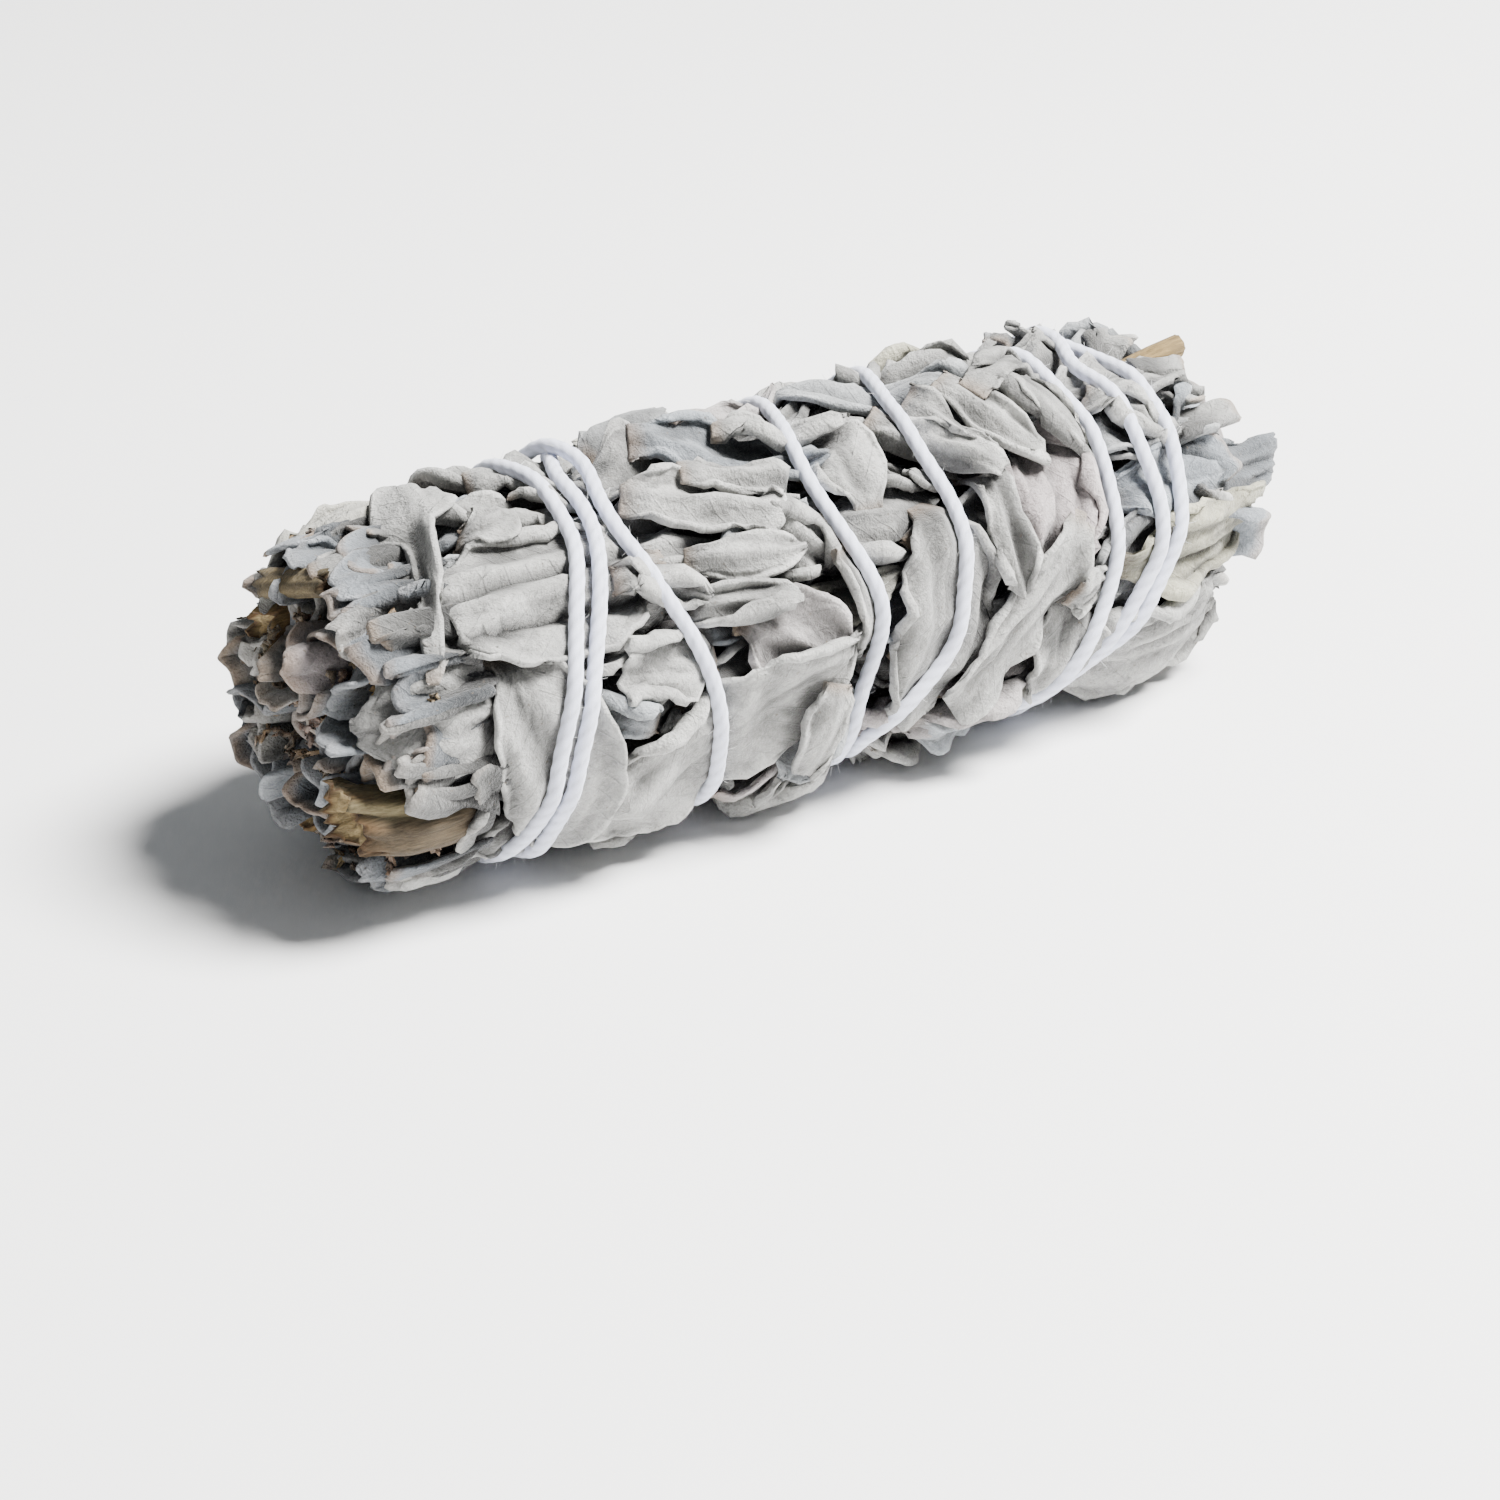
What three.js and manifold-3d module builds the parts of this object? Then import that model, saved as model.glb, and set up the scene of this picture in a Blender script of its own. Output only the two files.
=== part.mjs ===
// A sage smudge stick: eight leafy stems of dried white sage, called sprigs here, packed side by side
// and bound with one cotton string. It lies along X with its cut stems at -X. Millimetres, +Z up.
// Places on it are given as (x, angle): the angle is 0 towards -Y, 90 on top and 180 towards +Y.
import * as THREE from 'three';
import loadManifold from 'manifold-3d';

// Driving dimensions
const BUNDLE_RADIUS = 18.4;      // over the leaves, where the bundle is thickest
const THICKEST_X = 10;
const NEAR_TAPER = 1.2;          // how much thinner it is at the cut end
const FAR_TAPER = 2.2;           // and at the leaf tips
const NEAR_END_X = -45;          // where the packed leaves end, before the ragged edges
const FAR_END_X = 44;
const WRAP_DEPTH = 3.0;          // of the wrapped leaves over the packed ones
const LEAF_THICKNESS = 0.7;
const PRESS_LIMIT = 3.2;         // how far the finished bundle can be pressed in or spread
const GAP = 0.3;                 // between pieces that touch
const ROOT_DEPTH = 0.5;          // how deep a leaf's root sinks into what it grows from
const PETIOLE_WIDTH = 2.8;
const MIDDLE_RADIUS = 5.3;       // of the sprig in the middle of the bundle
const STRING_DIAMETER = 1.52;
const STRING_BITE = 1.1;         // how deep the string pulls the leaves in
const SOLE_BITE = 1.2;           // and how much deeper where the bundle lies on it
const BITE_REACH = 6.5;
const SOLE_DISTANCE = 16.9;      // from the bundle's axis to the flat it lies on
const SOLE_ANGLE = 270;
const SOLE_REACH = 36;           // degrees to each side of it that are pressed flat
const EDGES = { near: 5, far: 4, stand: 4.5, standInMiddle: 6 };

// Steps of the string's route in degrees, and of the grid that the leaves are laid on: 1 mm by 3 degrees
const ROUTE_STEP = 3;
const STEPS_PER_RING = 7;
const GRID_START = -60;
const GRID_COLUMNS = 121;
const GRID_ROWS = 120;
const DEGREES_PER_ROW = 360 / GRID_ROWS;
const PACKED_STEPS = 11;         // along each sprig's packed inside

const DEGREE = Math.PI / 180;
const MM_PER_DEGREE = BUNDLE_RADIUS * DEGREE;
const CHORD_SAG = BUNDLE_RADIUS * (1 - Math.cos(ROUTE_STEP * STEPS_PER_RING / 2 * DEGREE));
const wasm = await loadManifold();
wasm.setup();

// Each sprig has a sector of the packed bundle round its angle. Its stem runs straight between two ends,
// [x, distance from the bundle's axis, angle], and shows where it stands out or comes to the surface.
const SPRIGS = [
  { angle: 33, stem: { radius: 2.3, near: [-48.5, 11.3, 33], far: [20, 10.4, 33] } },
  { angle: 80, stem: { radius: 1.9, near: [-46.5, 10.6, 80], far: [47, 14.8, 88] } },
  { angle: 125, stem: { radius: 2.2, near: [-52, 11.2, 126], far: [10, 10.6, 125] } },
  { angle: 170, stem: { radius: 2.0, near: [-47, 11.4, 171], far: [30, 10.8, 171] } },
  { angle: 220, stem: { radius: 1.9, near: [-50, 12.4, 222], far: [15, 11, 219] } },
  { angle: 265, stem: { radius: 1.9, near: [-51, 12, 263], far: [46, 10.4, 266] } },
  { angle: 336, stem: { radius: 3.3, near: [-53, 13.7, 338], far: [-16, 8.8, 334] } },
  { angle: null, stem: { radius: 2.2, near: [-47.5, 1.2, 200], far: [45.5, 1.4, 20] } },
];
const OUTER_SPRIGS = SPRIGS.length - 1;

// The string's passes over the front, as [x, angle], in the order it was wound from the knot and back
const KNOT = { x: 36, angle: 178 };
const STRING_PASSES = [
  [[37.4, 86], [37.1, 60], [36.6, 37], [35, 13], [32.4, -5], [29, -25], [27.2, -34], [23.5, -60]],
  [[35, 108], [32.3, 80], [32.6, 52], [33.1, 28], [32.2, 8], [30.2, -5], [26.8, -25], [25, -34],
    [21.4, -60]],
  [[28.5, 96], [29, 55], [28.7, 24], [26.9, 1], [23.5, -20], [21.4, -30], [17.5, -60]],
  [[13.3, 117], [9.8, 71], [10.6, 40], [9.4, 15], [7.6, -6], [2.7, -23], [0.6, -36], [1.4, -60],
    [1.8, -90]],
  [[-23.4, 97], [-25, 66], [-27.6, 43], [-30.2, 21], [-32.5, -5], [-33.6, -30], [-34.2, -60]],
  [[-27, 96], [-27.4, 63], [-29.9, 43], [-32.3, 21], [-34.5, -5], [-35.6, -30], [-37, -60]],
  [[-21.4, 97], [-22.8, 70], [-22.4, 43], [-19.8, 24], [-18.1, 5], [-17, -24], [-16, -60]],
  [[0.4, 112], [-2.3, 70], [-1.1, 35], [0, 10], [-1.4, -14], [-1.8, -36], [-1.4, -60], [-1.2, -90]],
];
const ROUTE_END = [[1, -112], [10, -132], [26, -158]];
const TAILS = [
  [[36, 178], [39.5, 170], [43, 171], [47, 176]],
  [[36, 178], [33.5, 188], [30.5, 196], [26, 199]],
];

// Leaves laid by rule, course by course. Each goes where the bundle is thinnest of a few places tried.
const ALL = [0, 360];
const BACK = [110, 300];
const COURSES = [
  { count: 10, root: [-37, -31], length: [14, 18], width: [10, 13], heading: 180, spread: 18, angles: ALL },
  { count: 12, root: [-38, 12], length: [30, 40], width: [11, 15], heading: 0, spread: 16, angles: ALL },
  { count: 8, root: [18, 26], length: [22, 30], width: [9, 13], heading: 0, spread: 14, angles: ALL },
  { count: 7, root: [-38, 18], length: [26, 36], width: [11, 15], heading: 0, spread: 24, angles: BACK },
];
const PLACES_TRIED = 16;
const FRONT_ANGLE = 30;
const SEEN_DEPTH = 1.8;

// Leaves seen one by one on the front and the top: root and tip as [x, angle], width, and how they
// differ from the rule
const SEEN_LEAVES = [
  { root: [-30, 60], tip: [-4, 52], width: 9 },
  { root: [-24, 86], tip: [-3, 76], width: 10, curl: [0, 0.8] },
  { root: [-16, 36], tip: [-3, 46], width: 9, blunt: 0.3 },
  { root: [-13, 26], tip: [-6, 6], width: 9, blunt: 0.7, curl: [0.8, 0] },
  { root: [3, 48], tip: [2, 84], width: 9, blunt: 0.6 },
  { root: [29, 48], tip: [38, 66], width: 9, blunt: 0.5 },
  { root: [26, -16], tip: [35, 22], width: 9, blunt: 0.4 },
  { root: [18, -38], tip: [44, -30], width: 15, blunt: 0.6 },
  { root: [28, 30], tip: [54, 27], width: 9, blunt: 0.9 },
  { root: [27, 6], tip: [50, 5], width: 9, blunt: 0.8, curl: [0, 1] },
  { root: [25, 57], tip: [47, 54], width: 6.5, blunt: 0.9 },
  { root: [27, 78], tip: [48, 71], width: 6 },
  { root: [8, 46], tip: [3, -30], width: 11, blunt: 0.3, bend: 2, curl: [0.3, 0.9] },
  { root: [20, 70], tip: [19, 0], width: 11, bend: -2, curl: [0.8, 0.3] },
  { root: [2, 112], tip: [23, 60], width: 7.5, curl: [0, 0.8] },
  { root: [28, 14], tip: [9, -27], width: 6, blunt: 0.7, curl: [0.6, 0.6] },
  { root: [26, 4], tip: [20, -40], width: 9 },
  { root: [17, 50], tip: [15, 4], width: 4.5, blunt: 0.6, curl: [0.8, 0.8] },
  { root: [-16, 108], tip: [0, 66], width: 6, curl: [0, 0.7] },
  { root: [-14, 60], tip: [-3.5, 33], width: 8, curl: [0.8, 0] },
  { root: [-3, 5], tip: [-9.5, -37], width: 8 },
  { root: [-35, -34], tip: [-3, 9], width: 14, bend: -2.5, curl: [0, 0.8] },
  { root: [-17, 13], tip: [-27, 19], width: 6, blunt: 0.9, curl: [1, 1] },
  { root: [-40, 36], tip: [-33.5, -48], width: 11, bend: 1.5 },
  { root: [-21, 48], tip: [-41.5, 50], width: 14, blunt: 0.5, curl: [1, 0] },
  { root: [-43, 38], tip: [-37, 112], width: 8, blunt: 0.4, stalk: 0.6 },
];

// Numbers drawn in a fixed order, the same on any machine
let seed = 20417;
function random(low, high) {
  seed = (seed * 16807) % 2147483647;
  return low + (high - low) * (seed / 2147483647);
}

const clamp = (value, low, high) => Math.min(high, Math.max(low, value));
const mix = (from, to, share) => from + (to - from) * share;

// Form of the bundle
function bundleRadius(x) {
  const towardsFar = x > THICKEST_X;
  const reach = towardsFar ? FAR_END_X - THICKEST_X : NEAR_END_X - THICKEST_X;
  const share = Math.min(1.2, (x - THICKEST_X) / reach);
  return BUNDLE_RADIUS - (towardsFar ? FAR_TAPER : NEAR_TAPER) * share * share;
}

function packedRadius(x, angle) {
  const waves = 0.35 * Math.sin(x / 9 + 2 * Math.cos(angle * DEGREE));
  const lumps = 0.3 * Math.cos(3 * angle * DEGREE + x / 17);
  return bundleRadius(x) - WRAP_DEPTH + waves + lumps;
}

// The string's route, unrolled: its x for an angle that keeps falling as the string is wound
function routePoints() {
  const points = [[KNOT.x, KNOT.angle]];
  STRING_PASSES.forEach((pass, turn) => {
    for (const [x, angle] of pass) points.push([x, angle - 360 * turn]);
  });
  const lastTurn = 360 * (STRING_PASSES.length - 1);
  for (const [x, angle] of ROUTE_END) points.push([x, angle - lastTurn]);
  points.push([KNOT.x, KNOT.angle - 360 - lastTurn]);
  return points;
}

function smoothPath(points, step) {
  const slopes = points.map((point, i) => {
    const before = points[Math.max(0, i - 1)];
    const after = points[Math.min(points.length - 1, i + 1)];
    return (after[0] - before[0]) / (after[1] - before[1]);
  });
  const path = [];
  const total = Math.round((points[0][1] - points.at(-1)[1]) / step);
  let span = 0;
  for (let i = 0; i <= total; i++) {
    const angle = points[0][1] - i * step;
    while (span < points.length - 2 && angle < points[span + 1][1]) span += 1;
    const [[x1, a1], [x2, a2]] = [points[span], points[span + 1]];
    const t = (angle - a1) / (a2 - a1);
    const run = a2 - a1;
    const x = (2 * t ** 3 - 3 * t ** 2 + 1) * x1 + (t ** 3 - 2 * t ** 2 + t) * run * slopes[span]
      + (3 * t ** 2 - 2 * t ** 3) * x2 + (t ** 3 - t ** 2) * run * slopes[span + 1];
    path.push({ x, angle });
  }
  return path;
}

const route = smoothPath(routePoints(), ROUTE_STEP);

// Degrees from one angle to another, the short way round
function turnBetween(from, to) {
  return (((to - from) % 360) + 540) % 360 - 180;
}

function stringBite(angle) {
  const fromSole = Math.abs(turnBetween(SOLE_ANGLE, angle));
  return STRING_BITE + SOLE_BITE * Math.sqrt(Math.max(0, 1 - fromSole / SOLE_REACH));
}

function pinch(x, angle) {
  let nearest = Infinity;
  for (const point of route) {
    const turn = turnBetween(angle, point.angle);
    nearest = Math.min(nearest, (point.x - x) ** 2 + (turn * MM_PER_DEGREE) ** 2);
  }
  return stringBite(angle) * Math.exp(-nearest / BITE_REACH ** 2);
}

function spot(x, angle, radius) {
  return new THREE.Vector3(x, -radius * Math.cos(angle * DEGREE), radius * Math.sin(angle * DEGREE));
}

// From (x, angle, radius) as laid to where that point is once the bundle is pressed round and tied tight
function place(x, angle, radius) {
  const held = clamp((radius - MIDDLE_RADIUS) / 6, 0, 1);
  return spot(x, angle, radius - (pinch(x, angle) + pressed(x, angle)) * held);
}

// Height of the bundle as leaves are laid on it, cell by cell, and the sprig that each cell's top is of
const height = new Float64Array(GRID_COLUMNS * GRID_ROWS);
const owner = new Int16Array(GRID_COLUMNS * GRID_ROWS).fill(-1);

function cellAt(x, angle) {
  const column = clamp(Math.round(x - GRID_START), 0, GRID_COLUMNS - 1);
  const row = ((Math.round(angle / DEGREES_PER_ROW) % GRID_ROWS) + GRID_ROWS) % GRID_ROWS;
  return column * GRID_ROWS + row;
}

// The highest of a field's cells close to a place
function highestRound(field, x, angle, reach) {
  let top = 0;
  for (const dx of [-reach, 0, reach]) {
    for (const turn of [-reach, 0, reach]) {
      top = Math.max(top, field[cellAt(x + dx, angle + turn / MM_PER_DEGREE)]);
    }
  }
  return top;
}

// How far the bundle is pressed in, or let out, at each cell
const pressDepth = new Float64Array(height.length);

function blurred(field, reach, passes) {
  let result = field;
  for (let pass = 0; pass < passes; pass++) {
    for (const [across, round] of [[1, 0], [0, 1]]) {
      result = result.map((value, cell) => {
        const [column, row] = [Math.floor(cell / GRID_ROWS), cell % GRID_ROWS];
        let sum = 0;
        for (let k = -reach; k <= reach; k++) {
          const near = clamp(column + k * across, NEAR_END_X - GRID_START + 4, FAR_END_X - GRID_START - 4);
          sum += result[near * GRID_ROWS + (row + k * round + GRID_ROWS) % GRID_ROWS];
        }
        return sum / (2 * reach + 1);
      });
    }
  }
  return result;
}

// The hands that bind the bundle press it round
function pressRound() {
  pressDepth.set(blurred(height.map((top, cell) => {
    const x = GRID_START + Math.floor(cell / GRID_ROWS);
    return clamp(top - bundleRadius(x), -PRESS_LIMIT, PRESS_LIMIT);
  }), 3, 3));
}

// Then it flattens a little on the surface it lies on
function pressSole() {
  const sole = blurred(height.map((top, cell) => {
    const x = GRID_START + Math.floor(cell / GRID_ROWS);
    const angle = (cell % GRID_ROWS) * DEGREES_PER_ROW;
    if (Math.abs(angle - SOLE_ANGLE) >= SOLE_REACH) return 0;
    const reach = SOLE_DISTANCE / Math.max(0.8, Math.cos((angle - SOLE_ANGLE) * DEGREE));
    return Math.max(0, top - pressDepth[cell] - pinch(x, angle) - reach);
  }), 1, 1);
  sole.forEach((depth, cell) => {
    pressDepth[cell] += depth;
  });
}

function pressed(x, angle) {
  const across = clamp(x, GRID_START, GRID_START + GRID_COLUMNS - 1.001) - GRID_START;
  const round = ((angle / DEGREES_PER_ROW) % GRID_ROWS + GRID_ROWS) % GRID_ROWS;
  const [column, row] = [Math.floor(across), Math.floor(round)];
  const depth = (i, j) => pressDepth[(column + i) * GRID_ROWS + (row + j) % GRID_ROWS];
  const [u, v] = [across - column, round - row];
  return mix(mix(depth(0, 0), depth(1, 0), u), mix(depth(0, 1), depth(1, 1), u), v);
}

// Where one sprig's sector ends and the next begins. The borders wander, as the sprigs were pressed together.
function sectorBorder(index, x) {
  const next = SPRIGS[(index + 1) % OUTER_SPRIGS].angle + (index + 1 === OUTER_SPRIGS ? 360 : 0);
  return (SPRIGS[index].angle + next) / 2 + 3.5 * Math.sin(x / 14 + 2 * index);
}

function sectorOf(x, angle) {
  const shares = SPRIGS.slice(0, OUTER_SPRIGS).map((sprig, index) => {
    const high = sectorBorder(index, x);
    const low = sectorBorder((index + OUTER_SPRIGS - 1) % OUTER_SPRIGS, x);
    const span = ((high - low) % 360 + 360) % 360;
    const turn = ((angle - low) % 360 + 360) % 360;
    return turn > 2.5 && turn < span - 2.5;
  });
  return shares.indexOf(true);
}

function stemPlace(stem, x) {
  const share = (x - stem.near[0]) / (stem.far[0] - stem.near[0]);
  const point = spot(x, stem.near[2], stem.near[1]).lerp(spot(x, stem.far[2], stem.far[1]), share);
  return { angle: Math.atan2(point.z, -point.y) / DEGREE, distance: Math.hypot(point.y, point.z) };
}

function stemAxis(stem, x) {
  const { angle, distance } = stemPlace(stem, x);
  return place(x, angle, distance);
}

function startGrid() {
  for (let column = 0; column < GRID_COLUMNS; column++) {
    const x = GRID_START + column;
    for (let row = 0; row < GRID_ROWS; row++) {
      const angle = row * DEGREES_PER_ROW;
      height[column * GRID_ROWS + row] = packedRadius(x, angle);
      if (x > NEAR_END_X + 1 && x < FAR_END_X - 1) owner[column * GRID_ROWS + row] = sectorOf(x, angle);
    }
    for (const { stem } of SPRIGS) {
      if (x < stem.near[0] || x > stem.far[0]) continue;
      const { angle: middle, distance } = stemPlace(stem, x);
      for (let turn = -36; turn <= 36; turn += DEGREES_PER_ROW) {
        const aside = distance * Math.sin(turn * DEGREE);
        if (Math.abs(aside) > stem.radius + GAP) continue;
        const cell = cellAt(x, middle + turn);
        const top = distance * Math.cos(turn * DEGREE) + Math.sqrt((stem.radius + GAP) ** 2 - aside ** 2);
        if (top < height[cell]) continue;
        height[cell] = top;
        owner[cell] = -1;
      }
    }
  }
}

// Plan of a leaf, unrolled: rows of places across it from its root to its tip
function leafStations(leaf) {
  if (leaf.length > 32) return [0, 0.07, 0.2, 0.4, 0.6, 0.8, 1];
  return leaf.length > 20 ? [0, 0.1, 0.3, 0.55, 0.8, 1] : [0, 0.14, 0.35, 0.65, 1];
}

function halfWidth(leaf, share) {
  const stalk = leaf.stalk ?? 0;
  const grown = clamp((share - stalk) / (0.4 * (1 - stalk)), 0, 1);
  const closing = clamp((share - 0.55) / 0.45, 0, 1);
  const width = leaf.width / 2 * Math.sin(grown * Math.PI / 2) * (1 - (1 - leaf.blunt) * closing * closing);
  return Math.max(width, grown < 0.6 ? PETIOLE_WIDTH / 2 : 0.45);
}

function leafPlan(leaf, grow) {
  const run = new THREE.Vector2(leaf.tip[0] - leaf.root[0], (leaf.tip[1] - leaf.root[1]) * MM_PER_DEGREE);
  const along = run.clone().normalize();
  const aside = new THREE.Vector2(-along.y, along.x);
  return leafStations(leaf).map((share, row, stations) => {
    const end = row === 0 ? -grow : row === stations.length - 1 ? grow : 0;
    const midrib = along.clone().multiplyScalar(run.length() * share + end)
      .addScaledVector(aside, leaf.bend * 4 * share * (1 - share));
    const slant = leaf.bend * 4 * (1 - 2 * share) / run.length();
    const across = aside.clone().addScaledVector(along, -slant).normalize();
    const places = [];
    for (let column = 0; column <= leaf.columns; column++) {
      const side = 2 * column / leaf.columns - 1;
      const waved = 1 + 0.1 * Math.sin(leaf.phase + 2 * side + 11 * share);
      const point = midrib.clone().addScaledVector(across, side * (halfWidth(leaf, share) * waved + grow));
      places.push({ x: leaf.root[0] + point.x, angle: leaf.root[1] + point.y / MM_PER_DEGREE, side });
    }
    return places;
  });
}

// Visits points inside each patch of a lattice, with the four corners and their weights
function overPatches(points, firstRow, steps, visit) {
  for (let row = firstRow; row < points.length - 1; row++) {
    for (let column = 0; column < points[0].length - 1; column++) {
      const corners = [[row, column], [row, column + 1], [row + 1, column], [row + 1, column + 1]];
      for (let i = 0; i <= steps; i++) {
        for (let j = 0; j <= steps; j++) {
          const [u, v] = [i / steps, j / steps];
          const weights = [(1 - u) * (1 - v), (1 - u) * v, u * (1 - v), u * v];
          const point = new THREE.Vector3();
          corners.forEach(([m, n], k) => point.addScaledVector(points[m][n], weights[k]));
          const angle = Math.atan2(point.z, -point.y) / DEGREE;
          visit(point.x, angle, Math.hypot(point.y, point.z), corners, weights);
        }
      }
    }
  }
}

function lattice(plan, radii, raise, placing) {
  return plan.map((row, i) => row.map(({ x, angle }, j) => placing(x, angle, radii[i][j] + raise)));
}

function restingRadii(leaf, plan) {
  const radii = plan.map((places, row) => places.map(({ x, angle }) => (
    row < 2 ? height[cellAt(x, angle)] - ROOT_DEPTH : highestRound(height, x, angle, 0.8) + GAP)));
  for (let round = 0; round < 5; round++) {
    const raise = radii.map((row) => row.map(() => 0));
    overPatches(lattice(plan, radii, 0, spot), 2, 5, (x, angle, radius, corners, weights) => {
      const short = height[cellAt(x, angle)] + GAP - radius;
      if (short <= 0) return;
      const share = weights.reduce((total, weight) => total + weight * weight, 0);
      corners.forEach(([row, column], k) => {
        raise[row][column] = Math.max(raise[row][column], short * weights[k] / share);
      });
    });
    raise.forEach((row, i) => row.forEach((step, j) => {
      radii[i][j] += step;
    }));
  }
  return radii.map((row, i) => row.map((radius, j) => {
    if (i < 2) return radius;
    const { x, angle, side } = plan[i][j];
    const free = 1 - pinch(x, angle) / stringBite(angle);
    const curl = side < 0 ? leaf.curl[0] : leaf.curl[1];
    return radius + curl * Math.abs(side) ** 3 * Math.max(0, free);
  }));
}

// A leaf can take root where one sprig is on top all round and its surface is even
function canRoot(leaf) {
  const [runAlong, runRound] = [leaf.tip[0] - leaf.root[0], (leaf.tip[1] - leaf.root[1]) * MM_PER_DEGREE];
  const along = [runAlong / Math.hypot(runAlong, runRound), runRound / Math.hypot(runAlong, runRound)];
  const cells = [];
  for (const forward of [0, 1.5, 3]) {
    for (const aside of [-1.4, 0, 1.4]) {
      const x = leaf.root[0] + along[0] * forward - along[1] * aside;
      const angle = leaf.root[1] + (along[1] * forward + along[0] * aside) / MM_PER_DEGREE;
      cells.push(cellAt(x, angle));
    }
  }
  const tops = cells.map((cell) => height[cell]);
  const even = Math.max(...tops) - Math.min(...tops) < 0.7;
  const first = owner[cells[0]];
  return even && first >= 0 && cells.every((cell) => owner[cell] === first);
}

// A leaf grows from the sprig on top where its root lies, so the root is moved a little to where one sprig is
function settleRoot(leaf) {
  for (let reach = 0; reach <= 7; reach += 1) {
    for (let turn = 0; turn < 8; turn++) {
      const [dx, dy] = [reach * Math.cos(turn * Math.PI / 4), reach * Math.sin(turn * Math.PI / 4)];
      const moved = { ...leaf, root: [leaf.root[0] + dx, leaf.root[1] + dy / MM_PER_DEGREE] };
      if (canRoot(moved)) return moved;
    }
  }
  return null;
}

// The thick split stem and the one along the top stay in sight
function hidesStem(plan) {
  return plan.flat().some(({ x, angle }) => {
    const turn = turnBetween(0, angle);
    const onThick = x < -38.5 && turn > -38 && turn < -2;
    const onTop = x > 39 && turn > 82 && turn < 98;
    return onThick || onTop;
  });
}

// Fills in what a leaf's entry leaves to the rule, and finds its root
function readyLeaf(wanted) {
  const leaf = { curl: [0.25, 0.25], bend: 0, blunt: 0, phase: 0, ...wanted };
  leaf.length = Math.hypot(leaf.tip[0] - leaf.root[0], (leaf.tip[1] - leaf.root[1]) * MM_PER_DEGREE);
  leaf.columns = leaf.width >= 13 ? 3 : 2;
  return settleRoot(leaf);
}

function layLeaf(wanted) {
  const leaf = readyLeaf(wanted);
  if (!leaf) return null;
  const plan = leafPlan(leaf, 0);
  const sprig = owner[cellAt(...leaf.root)];
  const radii = restingRadii(leaf, plan);
  overPatches(lattice(plan, radii, LEAF_THICKNESS, spot), 0, 12, (x, angle, radius) => {
    const cell = cellAt(x, angle);
    if (radius < height[cell]) return;
    height[cell] = radius;
    owner[cell] = sprig;
  });
  return { leaf, plan, radii, sprig };
}

// How full the bundle already is where a leaf would lie. The front is left lower for the leaves that
// are laid there one by one.
function fullness(leaf) {
  const places = leafPlan(leaf, 0).slice(1).flat().filter(({ x }) => x > NEAR_END_X && x < FAR_END_X);
  const full = places.map(({ x, angle }) => {
    const kept = Math.cos((angle - FRONT_ANGLE) * DEGREE) > 0.3 ? SEEN_DEPTH : 0;
    return highestRound(height, x, angle, 1.5) + kept - bundleRadius(x);
  });
  return full.reduce((sum, value) => sum + value, 0) / full.length + 0.4 * Math.max(...full);
}

function drawnLeaf(course) {
  const angle = random(...course.angles);
  const heading = (course.heading + random(-course.spread, course.spread)) * DEGREE;
  const length = random(...course.length);
  const root = [random(...course.root), angle];
  const tip = [root[0] + length * Math.cos(heading), angle + length * Math.sin(heading) / MM_PER_DEGREE];
  const shape = { width: random(...course.width), bend: random(-2.5, 2.5), blunt: random(0, 0.5) };
  return { root, tip, ...shape, curl: [random(0, 0.7), random(0, 0.7)], phase: random(0, 6.28) };
}

function layCourse(course) {
  const laidLeaves = [];
  for (let i = 0; i < course.count; i++) {
    const tried = [];
    for (let k = 0; k < PLACES_TRIED; k++) {
      const leaf = readyLeaf(drawnLeaf(course));
      if (leaf && !hidesStem(leafPlan(leaf, 0))) tried.push({ leaf, full: fullness(leaf) });
    }
    const thinner = (best, place) => (place.full < best.full ? place : best);
    const thinnest = tried.reduce(thinner, { full: Infinity });
    if (thinnest.leaf) laidLeaves.push(layLeaf(thinnest.leaf));
  }
  return laidLeaves;
}

// Solids
function solid(points, triangles) {
  const volumeUnder = ([a, b, c]) => points[a].dot(points[b].clone().cross(points[c]));
  const volume = triangles.reduce((sum, triangle) => sum + volumeUnder(triangle), 0);
  const outward = volume > 0 ? triangles : triangles.map(([a, b, c]) => [a, c, b]);
  return new wasm.Manifold(new wasm.Mesh({
    numProp: 3,
    vertProperties: new Float32Array(points.flatMap((point) => [point.x, point.y, point.z])),
    triVerts: new Uint32Array(outward.flat()),
  }));
}

function loft(rings) {
  const size = rings[0].length;
  const points = rings.flat();
  const triangles = [];
  for (let i = 0; i < rings.length - 1; i++) {
    for (let j = 0; j < size; j++) {
      const [a, b] = [i * size + j, i * size + (j + 1) % size];
      triangles.push([a, b, b + size], [a, b + size, a + size]);
    }
  }
  for (const [ring, flip] of [[0, true], [rings.length - 1, false]]) {
    const centre = rings[ring].reduce((sum, point) => sum.add(point), new THREE.Vector3()).divideScalar(size);
    points.push(centre);
    for (let j = 0; j < size; j++) {
      const [a, b] = [ring * size + j, ring * size + (j + 1) % size];
      triangles.push(flip ? [b, a, points.length - 1] : [a, b, points.length - 1]);
    }
  }
  return solid(points, triangles);
}

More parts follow.
